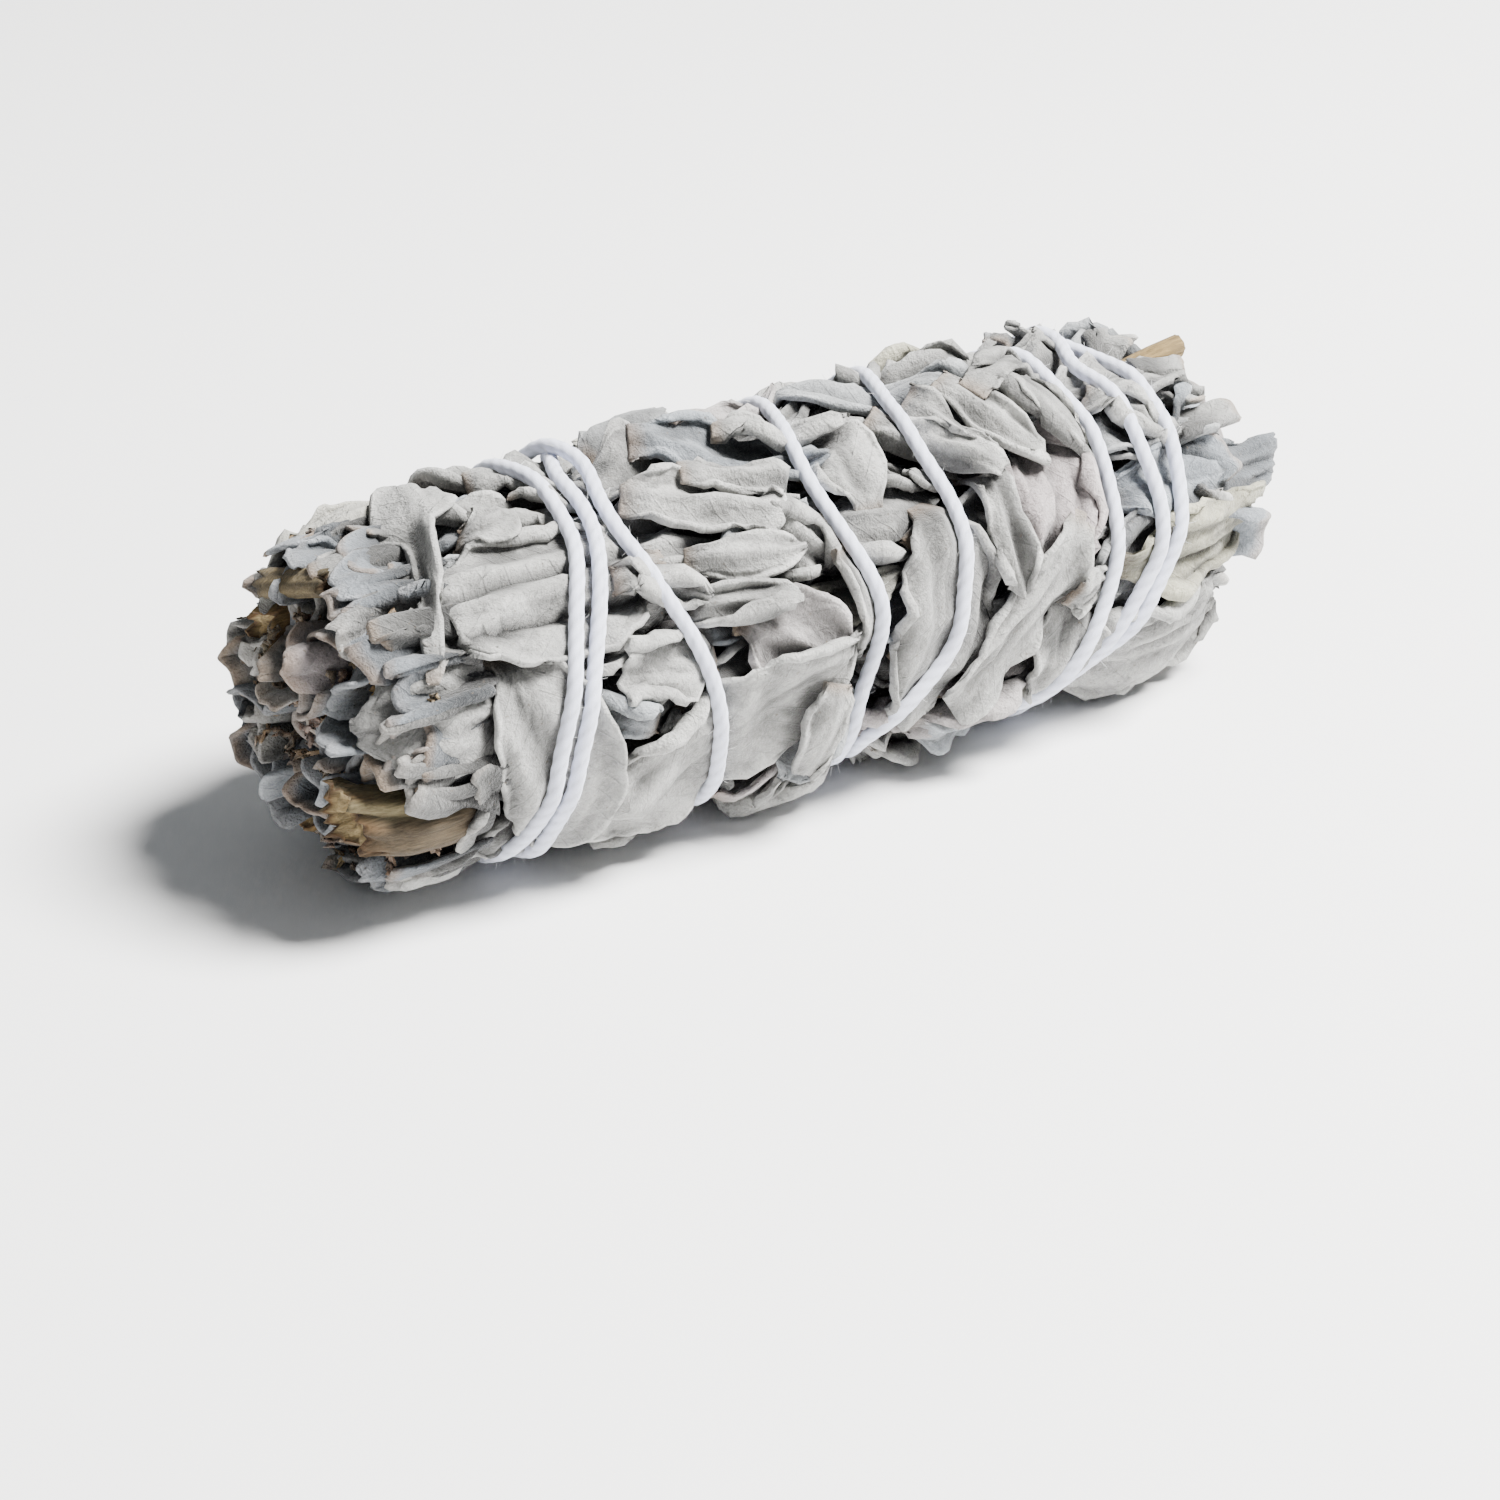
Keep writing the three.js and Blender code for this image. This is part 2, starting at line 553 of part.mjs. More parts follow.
// A thin solid between two like lattices of points
function sheet(under, over) {
  const rows = under.length;
  const columns = under[0].length;
  const points = [...under.flat(), ...over.flat()];
  const lift = rows * columns;
  const triangles = [];
  const quad = (a, b, c, d) => triangles.push([a, b, c], [a, c, d]);
  for (let i = 0; i < rows - 1; i++) {
    for (let j = 0; j < columns - 1; j++) {
      const a = i * columns + j;
      const [b, c, d] = [a + 1, a + columns + 1, a + columns];
      quad(a + lift, b + lift, c + lift, d + lift);
      triangles.push([c, b, a], [d, c, a]);
    }
  }
  const rim = [];
  for (let j = 0; j < columns - 1; j++) rim.push(j);
  for (let i = 0; i < rows - 1; i++) rim.push(i * columns + columns - 1);
  for (let j = columns - 1; j > 0; j--) rim.push((rows - 1) * columns + j);
  for (let i = rows - 1; i > 0; i--) rim.push(i * columns);
  rim.forEach((a, k) => {
    const b = rim[(k + 1) % rim.length];
    triangles.push([a, b, b + lift], [a, b + lift, a + lift]);
  });
  return solid(points, triangles);
}

function leafSolid({ plan, radii }) {
  return sheet(lattice(plan, radii, 0, place), lattice(plan, radii, LEAF_THICKNESS, place));
}

function leafWithRoom({ leaf, radii }) {
  const plan = leafPlan(leaf, 0.15);
  return sheet(lattice(plan, radii, -0.12, place), lattice(plan, radii, LEAF_THICKNESS + 0.12, place));
}

// The packed inside of a sprig: its sector of the bundle, or the middle
function packedSection(index, x, room) {
  if (index === OUTER_SPRIGS) {
    return [0, 1, 2, 3, 4, 5, 6].map((k) => place(x, k * 360 / 7 + x / 2, MIDDLE_RADIUS - GAP / 2 + room));
  }
  const high = sectorBorder(index, x);
  let low = sectorBorder((index + OUTER_SPRIGS - 1) % OUTER_SPRIGS, x);
  if (low > high) low -= 360;
  const half = GAP / 2 - room;
  const points = [];
  for (const share of [0, 0.25, 0.5, 0.75, 1]) {
    const radius = packedRadius(x, mix(low, high, share)) + room;
    const inset = half / radius / DEGREE;
    points.push(place(x, mix(low + inset, high - inset, share), radius));
  }
  const radius = MIDDLE_RADIUS + GAP / 2 - room;
  const inset = half / radius / DEGREE;
  const corner = radius / Math.cos((high - low) / 2 * DEGREE);
  for (const share of [1, 0]) points.push(place(x, mix(low + inset, high - inset, share), corner));
  return points;
}

function packedSolid(index, from, to, steps, room) {
  const rings = [];
  for (let i = 0; i <= steps; i++) rings.push(packedSection(index, mix(from, to, i / steps), room));
  return loft(rings);
}

function pointRound(x, centre, radius, turn) {
  return new THREE.Vector3(x, centre.y + radius * Math.cos(turn), centre.z + radius * Math.sin(turn));
}

// A squarish stem, cut off roughly at both ends
function stemSolid(stem, room) {
  const stations = [0, 0.12, 0.5, 0.88, 1];
  return loft(stations.map((share) => {
    const x = mix(stem.near[0] - room, stem.far[0] + room, share);
    const centre = stemAxis(stem, x);
    const ragged = share === 0 || share === 1 ? 0.5 : 0;
    const ring = [];
    for (let k = 0; k < 8; k++) {
      const turn = k * Math.PI / 4 + stem.near[2];
      const radius = stem.radius * (k % 2 ? 1 : 0.9) + room;
      const end = x + ragged * Math.sin(5 * k + stem.near[1]);
      ring.push(pointRound(end, centre, radius, turn));
    }
    return ring;
  }));
}

// A ragged leaf edge at an end of the bundle, curled round the sprig's stem and standing out of its
// packed inside
function endEdge(stem, side, ring, start, span, stand) {
  const rootX = side < 0 ? NEAR_END_X + 2 : FAR_END_X - 2;
  const columns = 3;
  const phase = random(0, 6.28);
  const flare = random(-0.6, 1.6);
  const level = (raise) => [0, 1].map((share) => {
    const places = [];
    for (let k = 0; k <= columns; k++) {
      const turn = (start + span * (k / columns - 0.5) * (1 - 0.25 * share)) * DEGREE;
      const radius = ring + 0.7 * Math.sin(phase + 2.4 * k) + flare * share * share + raise;
      const x = rootX + side * share * (stand + 2 + 0.8 * Math.sin(phase + 4 * k));
      const centre = stemAxis(stem, x);
      places.push(pointRound(x, centre, radius, turn));
    }
    return places;
  });
  return sheet(level(0), level(LEAF_THICKNESS));
}

function endEdges(index, side) {
  const { stem } = SPRIGS[index];
  const edges = [];
  const count = side < 0 ? EDGES.near : EDGES.far;
  const meanStand = index === OUTER_SPRIGS ? EDGES.standInMiddle : EDGES.stand;
  for (let i = 0; i < count; i++) {
    const ring = stem.radius + 0.9 + (i % 3) * 1.5;
    const stand = meanStand + random(-1.5, 2);
    edges.push(endEdge(stem, side, ring, i * 137.5 + random(0, 40), random(90, 150), stand));
  }
  const [from, to] = side < 0 ? [NEAR_END_X - 12, NEAR_END_X + 4] : [FAR_END_X - 4, FAR_END_X + 12];
  return wasm.Manifold.union(edges).intersect(packedSolid(index, from, to, 3, -0.15));
}

function largestPiece(body) {
  return body.decompose().reduce((best, piece) => (piece.volume() > best.volume() ? piece : best));
}

function boxesMeet(a, b) {
  return [0, 1, 2].every((axis) => a.min[axis] < b.max[axis] && b.min[axis] < a.max[axis]);
}

// Height of the bundle once it is bound. The string clears it, and is straight between its high places.
const tightHeight = new Float64Array(height.length);

function measureTightHeight(laidLeaves) {
  for (let column = 0; column < GRID_COLUMNS; column++) {
    const x = GRID_START + column;
    for (let row = 0; row < GRID_ROWS; row++) {
      const angle = row * DEGREES_PER_ROW;
      const packedTop = place(x, angle, packedRadius(x, angle));
      tightHeight[column * GRID_ROWS + row] = Math.hypot(packedTop.y, packedTop.z);
    }
  }
  for (const { plan, radii } of laidLeaves) {
    overPatches(lattice(plan, radii, LEAF_THICKNESS, place), 0, 14, (x, angle, radius) => {
      const cell = cellAt(x, angle);
      tightHeight[cell] = Math.max(tightHeight[cell], radius);
    });
  }
}

function tautRadii(path) {
  const floor = path.map(({ x, angle }) => highestRound(tightHeight, x, angle, 1) + GAP);
  const radii = floor.map(() => BUNDLE_RADIUS + 4);
  const shorter = Math.cos(ROUTE_STEP * DEGREE);
  for (let round = 0; round < 1500; round++) {
    for (let i = 1; i < radii.length - 1; i++) {
      radii[i] = Math.max(floor[i], 2 * shorter / (1 / radii[i - 1] + 1 / radii[i + 1]));
    }
    radii[0] = Math.max(floor[0], radii[1] - 0.02);
    radii[radii.length - 1] = Math.max(floor.at(-1), radii.at(-2) - 0.02);
  }
  return radii;
}

// Where the string crosses a turn laid before, it goes over it
function crossingLift(path, i) {
  let lift = 0;
  for (let j = 0; j < i - 20; j++) {
    const turn = turnBetween(path[j].angle, path[i].angle);
    const apart = Math.hypot(path[i].x - path[j].x, turn * MM_PER_DEGREE);
    if (apart < STRING_DIAMETER * 0.8) lift = Math.max(lift, STRING_DIAMETER * 0.8);
  }
  return lift;
}

// Under the bundle the string is pressed into the leaves, level with them
function aboveSole(centre) {
  centre.z = Math.max(centre.z, 0.3 * STRING_DIAMETER - SOLE_DISTANCE);
  return centre;
}

function stringCentres() {
  const radii = tautRadii(route);
  const lifts = route.map((point, i) => crossingLift(route, i));
  const smoothLift = (i) => {
    let best = 0;
    for (let j = Math.max(0, i - 6); j <= Math.min(lifts.length - 1, i + 6); j++) {
      best = Math.max(best, lifts[j] * (1 - (Math.abs(i - j) / 7) ** 2));
    }
    return best;
  };
  return route.map(({ x, angle }, i) => {
    return aboveSole(spot(x, angle, radii[i] + CHORD_SAG + STRING_DIAMETER / 2 + smoothLift(i)));
  });
}

// A cord through its centres, as short tubes that share their end rings, so that it can cross itself
function cordPieces(centres, radius) {
  const sides = 6;
  const ringsEach = 6;
  const rings = centres.map((centre, i) => {
    const before = centres[Math.max(0, i - 1)];
    const after = centres[Math.min(centres.length - 1, i + 1)];
    const along = after.clone().sub(before).normalize();
    const out = new THREE.Vector3(0, centre.y, centre.z).normalize();
    const aside = along.clone().cross(out).normalize();
    const up = aside.clone().cross(along);
    const ring = [];
    for (let k = 0; k < sides; k++) {
      const turn = (k + 0.5) * 2 * Math.PI / sides;
      const outward = up.clone().multiplyScalar(Math.cos(turn)).addScaledVector(aside, Math.sin(turn));
      ring.push(centre.clone().addScaledVector(outward, radius));
    }
    return ring;
  });
  const pieces = [];
  for (let i = 0; i < rings.length - 1; i += ringsEach) pieces.push(loft(rings.slice(i, i + ringsEach + 1)));
  return pieces;
}

// An overhand knot: a trefoil lying on the bundle
function knotCentres() {
  const centres = [];
  const surface = highestRound(tightHeight, KNOT.x, KNOT.angle, 2);
  const radius = surface + GAP + 1.3 * STRING_DIAMETER;
  for (let k = 0; k <= 15; k++) {
    const turn = k * Math.PI / 7.5;
    const along = 0.75 * (Math.sin(turn) + 2 * Math.sin(2 * turn));
    const round = 0.75 * (Math.cos(turn) - 2 * Math.cos(2 * turn));
    const out = radius - 0.8 * Math.sin(3 * turn);
    const angle = (KNOT.angle + round / MM_PER_DEGREE) * DEGREE;
    centres.push(new THREE.Vector3(KNOT.x + along, -out * Math.cos(angle), out * Math.sin(angle)));
  }
  return centres;
}

function tailCentres(tail) {
  const unrolled = tail.map(([x, angle]) => new THREE.Vector3(x, angle * MM_PER_DEGREE, 0));
  const curve = new THREE.CatmullRomCurve3(unrolled);
  return curve.getPoints(5).map(({ x, y }, i) => {
    const angle = y / MM_PER_DEGREE;
    const rise = i === 0 ? STRING_DIAMETER : 0.2 * i;
    const surface = highestRound(tightHeight, x, angle, 1.5);
    return spot(x, angle, surface + GAP + STRING_DIAMETER / 2 + rise);
  });
}

function stringSolid(room) {
  const radius = STRING_DIAMETER / 2 + room;
  const ringHere = (centre, i, all) => i % STEPS_PER_RING === 0 || i === all.length - 1;
  const centres = stringCentres().filter(ringHere);
  const cords = [centres, knotCentres(), ...TAILS.map(tailCentres)];
  return wasm.Manifold.union(cords.flatMap((cord) => cordPieces(cord, radius)));
}

// Building
startGrid();
const laid = [...COURSES.flatMap(layCourse), ...SEEN_LEAVES.map(layLeaf)].filter(Boolean);
pressRound();
pressSole();
measureTightHeight(laid);

const stemBodies = SPRIGS.map(({ stem }) => stemSolid(stem, 0));
const stemRooms = SPRIGS.map(({ stem }) => stemSolid(stem, GAP));
const packed = SPRIGS.map((sprig, index) => packedSolid(index, NEAR_END_X, FAR_END_X, PACKED_STEPS, 0));
const rooms = SPRIGS.flatMap((sprig, index) => [
  { sprig: index, body: packedSolid(index, NEAR_END_X, FAR_END_X, PACKED_STEPS, 0.12) },
  { sprig: -1, body: stemRooms[index] },
]);

function clearOfOthers(item) {
  let body = leafSolid(item);
  const box = body.boundingBox();
  for (const room of rooms) {
    if (room.sprig === item.sprig || !boxesMeet(box, room.body.boundingBox())) continue;
    if (body.intersect(room.body).volume() > 1e-4) body = largestPiece(body.subtract(room.body));
  }
  rooms.push({ sprig: item.sprig, body: leafWithRoom(item) });
  return body;
}

const leafBodies = laid.map((item) => ({ sprig: item.sprig, body: clearOfOthers(item) }));
const stringBody = stringSolid(0);
const stringRoom = stringSolid(0.1);
const foliage = SPRIGS.map((sprig, index) => {
  const inside = wasm.Manifold.union([packed[index], endEdges(index, -1), endEdges(index, 1)]);
  const own = leafBodies.filter((item) => item.sprig === index).map((item) => item.body);
  return wasm.Manifold.union([inside, ...own]).subtract(stemRooms[index]).subtract(stringRoom);
});

// Where the bundle lies, its lowest leaves and turns of string are pressed flat
function flattened(body) {
  return largestPiece(body.trimByPlane([0, 0, 1], -SOLE_DISTANCE).simplify(0.05));
}

const bodies = [
  ...foliage.map((body, i) => ({ name: `sprig_${i + 1}_leaves`, body: flattened(body), look: 'leaf' })),
  ...stemBodies.map((body, i) => ({ name: `sprig_${i + 1}_stem`, body, look: 'stem' })),
  { name: 'binding_string', body: flattened(stringBody), look: 'string' },
];

const looks = {
  leaf: { color: 0xb9b7ad, roughness: 0.95, metalness: 0 },
  stem: { color: 0x9c8152, roughness: 0.85, metalness: 0 },
  string: { color: 0xe9e9ee, roughness: 0.9, metalness: 0 },
};

function meshOf({ name, body, look }) {
  const { vertProperties, triVerts } = body.getMesh();
  const geometry = new THREE.BufferGeometry();
  geometry.setAttribute('position', new THREE.BufferAttribute(vertProperties, 3));
  geometry.setIndex(new THREE.BufferAttribute(triVerts, 1));
  geometry.computeVertexNormals();
  const mesh = new THREE.Mesh(geometry, new THREE.MeshStandardMaterial(looks[look]));
  mesh.name = name;
  return mesh;
}

// The origin is under the middle of the whole bundle, on the surface it lies on
const smudgeStick = new THREE.Group();
smudgeStick.add(...bodies.map(meshOf));
const bounds = new THREE.Box3().setFromObject(smudgeStick);
const middle = bounds.getCenter(new THREE.Vector3());
smudgeStick.position.set(-middle.x, -middle.y, -bounds.min.z);

export default smudgeStick;
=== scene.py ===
"""A sage smudge stick: felted leaves, woody stems and cotton string, dressed on the CAD part.

Sizes are millimetres until a mesh is made. A place on the bundle is (x, angle): the angle is 0 towards -Y,
90 on top and 180 towards +Y, round the bundle's axis. Unrolled millimetres are (x, the arc from angle 0
at the bundle's radius). The leaves are laid by the same rule as the solids, but a few are narrower here.
"""
import math

import bpy
import numpy as np
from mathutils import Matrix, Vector

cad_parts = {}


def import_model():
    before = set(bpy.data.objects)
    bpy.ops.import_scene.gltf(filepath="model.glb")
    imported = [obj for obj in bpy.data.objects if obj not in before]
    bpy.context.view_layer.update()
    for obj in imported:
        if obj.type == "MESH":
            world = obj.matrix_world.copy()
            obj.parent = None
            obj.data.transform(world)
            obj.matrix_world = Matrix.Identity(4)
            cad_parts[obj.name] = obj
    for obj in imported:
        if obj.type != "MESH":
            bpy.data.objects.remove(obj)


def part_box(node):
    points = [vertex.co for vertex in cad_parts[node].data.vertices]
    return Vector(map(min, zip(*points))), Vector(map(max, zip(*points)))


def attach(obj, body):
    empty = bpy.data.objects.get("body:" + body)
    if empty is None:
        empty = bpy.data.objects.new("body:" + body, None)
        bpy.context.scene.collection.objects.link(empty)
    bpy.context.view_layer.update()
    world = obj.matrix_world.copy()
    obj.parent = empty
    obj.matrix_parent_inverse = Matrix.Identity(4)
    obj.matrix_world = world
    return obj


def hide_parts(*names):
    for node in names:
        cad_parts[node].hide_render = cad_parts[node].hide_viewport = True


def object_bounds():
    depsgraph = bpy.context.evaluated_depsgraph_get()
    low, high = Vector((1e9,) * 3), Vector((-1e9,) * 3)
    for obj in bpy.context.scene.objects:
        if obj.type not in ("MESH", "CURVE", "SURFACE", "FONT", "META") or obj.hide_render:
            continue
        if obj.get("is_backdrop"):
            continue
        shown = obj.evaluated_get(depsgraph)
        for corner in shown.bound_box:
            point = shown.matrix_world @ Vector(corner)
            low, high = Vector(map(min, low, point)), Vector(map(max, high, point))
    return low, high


# Driving dimensions of the bundle
BUNDLE_RADIUS = 18.4        # over the leaves, where the bundle is thickest
THICKEST_X = 10
NEAR_TAPER = 1.2            # how much thinner it is at the cut end
FAR_TAPER = 2.2             # and at the leaf tips
NEAR_END_X = -45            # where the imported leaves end, before the ragged edges
FAR_END_X = 44
WRAP_DEPTH = 3.0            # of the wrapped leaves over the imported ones
LEAF_THICKNESS = 0.7
GAP = 0.3                   # between pieces that touch
ROOT_DEPTH = 0.5            # how deep a leaf's root sinks into what it grows from
PETIOLE_WIDTH = 2.8
MIDDLE_RADIUS = 5.3         # of the sprig in the middle of the bundle
STRING_DIAMETER = 1.52
STRING_BITE = 1.1           # how deep the string pulls the leaves in
SOLE_BITE = 1.2             # and how much deeper where the bundle lies on it
BITE_REACH = 6.5
SOLE_DISTANCE = 16.9        # from the bundle's axis to the flat it lies on
SOLE_ANGLE = 270
SOLE_REACH = 36             # degrees to each side of it that are pressed flat
FLOOR_GAP = 0.02            # between the floor and the lowest points

# Pressing of the finished bundle
PRESS_LIMIT = 3.2           # how far it can be spread
MOST_PRESSED = 8            # and how far pressed in
PRESSED_ENDS = 4            # length at each end that is pressed like what is next to it
HOLD_GROWTH = 6             # depth over which pressing takes hold, outwards from the middle sprig
FREE_RISE = 1.3             # how far a leaf rises freely over the bundle's radius
RISE_KEPT = 0.35            # share kept of the rest of its rise
ROUNDED_FROM = 3            # length of the cut end that is rounded off
END_ROUNDING = 0.03
CORE_HELD = 12.5            # radius that the string doesn't squeeze below
SQUEEZE_REACH = 4
SQUEEZE_SLOPE = 1.1         # how steeply leaves rise from under the string
LEAST_KEPT = 0.2            # share of a leaf's height that is kept under it

# Lattice of a fine leaf, and how it is draped
ROW_STEP = 0.85
FEWEST_ROWS = 10
NARROW_LEAF = 4
WIDE_LEAF = 7
FLAT_COLUMNS = (7, 11, 15)  # of narrow, middling and wide leaves
ROLL_COLUMNS = (3, 5)       # of rims that are rolled a little or much
MUCH_ROLLED = 0.9           # in radians
MOST_ROLLED = 4.6
DRAPE_GAP = 0.12            # to what lies under a leaf
EASING_ROUNDS = 45
ROOT_SUNK = 1.1
STALK_SUNK = 0.5

# Painted shade on a leaf: how much darker it is where it lies deep, in its own hollows and under the edges of
# others, with a painted highlight on its ridges
DEEP_SHADE = 0.6
DEEP_AT = 4
HOLLOW_SHADE = 0.9
COVER_SHADE = 0.6
COVER_DEPTHS = (0.4, 1.9)

# The string
STRING_EASE = 7             # points of its route that it is eased over
STRING_SUNK = 0.75          # how deep it sinks into the leaves
STRING_SLACK = 4            # how far out it starts before it is pulled taut
TAUT_ROUNDS = 900
CROSSING_REACH = 0.85 * STRING_DIAMETER
SAME_PASS = 20              # points of its route that count as one pass
CORD_SIDES = 18
CORD_RADIUS = 0.96 * STRING_DIAMETER / 2
TWIST_LENGTH = 5
WOUND_STEP = 0.5            # between the rings of the cord
KNOT_STEP = 0.4
KNOT_LOOP = 0.75
FUZZ_COUNT = 500
FUZZ_RADIUS = 0.022

# Steps of the string's route in degrees, of the grid that the leaves are placed by, 1 mm by 3 degrees, and
# of the finer grid that they are draped on
ROUTE_STEP = 3
GRID_START = -60
GRID_COLUMNS = 121
GRID_ROWS = 120
DEGREES_PER_ROW = 360 / GRID_ROWS
FINE_STEP = 0.5
FINE_TURN = 1.5
FINE_COLUMNS = 241
FINE_ROWS = 240
DEGREE = math.pi / 180
MM_PER_DEGREE = BUNDLE_RADIUS * DEGREE
MM = 0.001

# Sprigs: angle of the sector, stem radius, and the stem's ends as (x, distance from the axis, angle)
SPRIGS = [
    {"angle": 33, "radius": 2.3, "near": (-48.5, 11.3, 33), "far": (20, 10.4, 33)},
    {"angle": 80, "radius": 1.9, "near": (-46.5, 10.6, 80), "far": (47, 14.8, 88)},
    {"angle": 125, "radius": 2.2, "near": (-52, 11.2, 126), "far": (10, 10.6, 125)},
    {"angle": 170, "radius": 2.0, "near": (-47, 11.4, 171), "far": (30, 10.8, 171)},
    {"angle": 220, "radius": 1.9, "near": (-50, 12.4, 222), "far": (15, 11, 219)},
    {"angle": 265, "radius": 1.9, "near": (-51, 12, 263), "far": (46, 10.4, 266)},
    {"angle": 336, "radius": 3.3, "near": (-53, 13.7, 338), "far": (-16, 8.8, 334)},
    {"angle": None, "radius": 2.2, "near": (-47.5, 1.2, 200), "far": (45.5, 1.4, 20)},
]
OUTER_SPRIGS = len(SPRIGS) - 1
THICK_STEM = 6
TOP_STEM = 1
CRUMBLED_SPRIGS = (2, 3, 7)
BORDER_WAVE = 3.5           # degrees that the border between two sectors winds
BORDER_MARGIN = 2.5         # degrees next to it where no leaf grows
STEM_TAPER = 0.42
STEM_SIDES = 36
STEM_SPAN = 36              # degrees to each side of a stem that it can reach
SPLIT_FACING = -0.55        # of the thick stem's split, in radians
SPLIT_WIDTH = 0.16
SPLIT_DEPTH = 0.9

# Rings from a stem's rim in over its cut end, as shares of the rim's radius and depths
CUT_RINGS = ((0.86, 0.0), (0.8, 0.7), (0.62, 0.55), (0.5, 1.1), (0.3, 1.5), (0.12, 1.3))

# A broken end of stalk that lies across the cut end: its ends, radius, sides and rings
BROKEN_STUB = ((-50.9, 5.6, 11.4), (-49.2, -3.2, 14.6))
STUB_RADIUS = 1.45
STUB_SIDES = 24
STUB_RINGS = 22

# The string's passes over the front, as (x, angle), in the order it was wound from the knot and back
KNOT = (36, 178)
STRING_PASSES = [
    [(37.4, 86), (37.1, 60), (36.6, 37), (35, 13), (32.4, -5), (29, -25), (27.2, -34), (23.5, -60)],
    [(35, 108), (32.3, 80), (32.6, 52), (33.1, 28), (32.2, 8), (30.2, -5), (26.8, -25), (25, -34),
     (21.4, -60)],
    [(28.5, 96), (29, 55), (28.7, 24), (26.9, 1), (23.5, -20), (21.4, -30), (17.5, -60)],
    [(13.3, 117), (9.8, 71), (10.6, 40), (9.4, 15), (7.6, -6), (2.7, -23), (0.6, -36), (1.4, -60),
     (1.8, -90)],
    [(-23.4, 97), (-25, 66), (-27.6, 43), (-30.2, 21), (-32.5, -5), (-33.6, -30), (-34.2, -60)],
    [(-27, 96), (-27.4, 63), (-29.9, 43), (-32.3, 21), (-34.5, -5), (-35.6, -30), (-37, -60)],
    [(-21.4, 97), (-22.8, 70), (-22.4, 43), (-19.8, 24), (-18.1, 5), (-17, -24), (-16, -60)],
    [(0.4, 112), (-2.3, 70), (-1.1, 35), (0, 10), (-1.4, -14), (-1.8, -36), (-1.4, -60), (-1.2, -90)],
]
ROUTE_END = [(1, -112), (10, -132), (26, -158)]
TAILS = [
    [(36, 178), (39.5, 170), (43, 171), (47, 176)],
    [(36, 178), (33.5, 188), (30.5, 196), (26, 199)],
]
TAIL_RISE = (STRING_DIAMETER, 0.4, 0.5, 0.9)

# Leaf colours, linear: neutral grey, blue-grey, pinkish and yellowish, and the brown of cut edges
GREY = np.array((0.37, 0.368, 0.352))
BLUE = np.array((0.30, 0.33, 0.362))
PINK = np.array((0.39, 0.345, 0.342))
YELLOW = np.array((0.375, 0.36, 0.27))
BROWN = np.array((0.14, 0.09, 0.05))

# Bark of the sprigs by turns, of the thick stem above and below, its cut rim, the pith, and a dark colour for
# the pith's rim ring and its hollow middle, painted shade in the hollow
BARK = (np.array((0.16, 0.11, 0.05)), np.array((0.19, 0.13, 0.055)))
THICK_BARK = np.array((0.2, 0.165, 0.09))
THICK_BARK_BELOW = np.array((0.06, 0.042, 0.028))
CUT_BARK = np.array((0.22, 0.12, 0.05))
PITH = np.array((0.36, 0.27, 0.14))
PITH_RIM_AND_HOLLOW_SHADE = np.array((0.10, 0.055, 0.025))
# Bark of the broken stub, and the painted shade in its hollow ends
STUB_BARK = np.array((0.15, 0.115, 0.06))
STUB_HOLLOW_SHADE = np.array((0.05, 0.03, 0.015))
COTTON = np.array((0.77, 0.80, 0.94))
SPECK_COLOUR = (0.12, 0.09, 0.06, 1)

# Leaves laid by rule, course by course
ALL = (0, 360)
BACK = (110, 300)
COURSES = [
    {"count": 10, "root": (-37, -31), "length": (14, 18), "width": (10, 13), "heading": 180, "spread": 18,
     "angles": ALL},
    {"count": 12, "root": (-38, 12), "length": (30, 40), "width": (11, 15), "heading": 0, "spread": 16,
     "angles": ALL},
    {"count": 8, "root": (18, 26), "length": (22, 30), "width": (9, 13), "heading": 0, "spread": 14,
     "angles": ALL},
    {"count": 7, "root": (-38, 18), "length": (26, 36), "width": (11, 15), "heading": 0, "spread": 24,
     "angles": BACK},
]
THICK_STEM_BARE = {"x": -38.5, "from": -38, "to": -2}
TOP_STEM_BARE = {"x": 39, "from": 82, "to": 98}
PLACES_TRIED = 16
ROOT_SEARCH = 8
ROOT_STEP = 0.7             # most that the ground may rise under a root
FRONT_ANGLE = 30            # the middle of the side that faces the camera
SEEN_DEPTH = 1.8            # kept free there for the leaves that are seen one by one

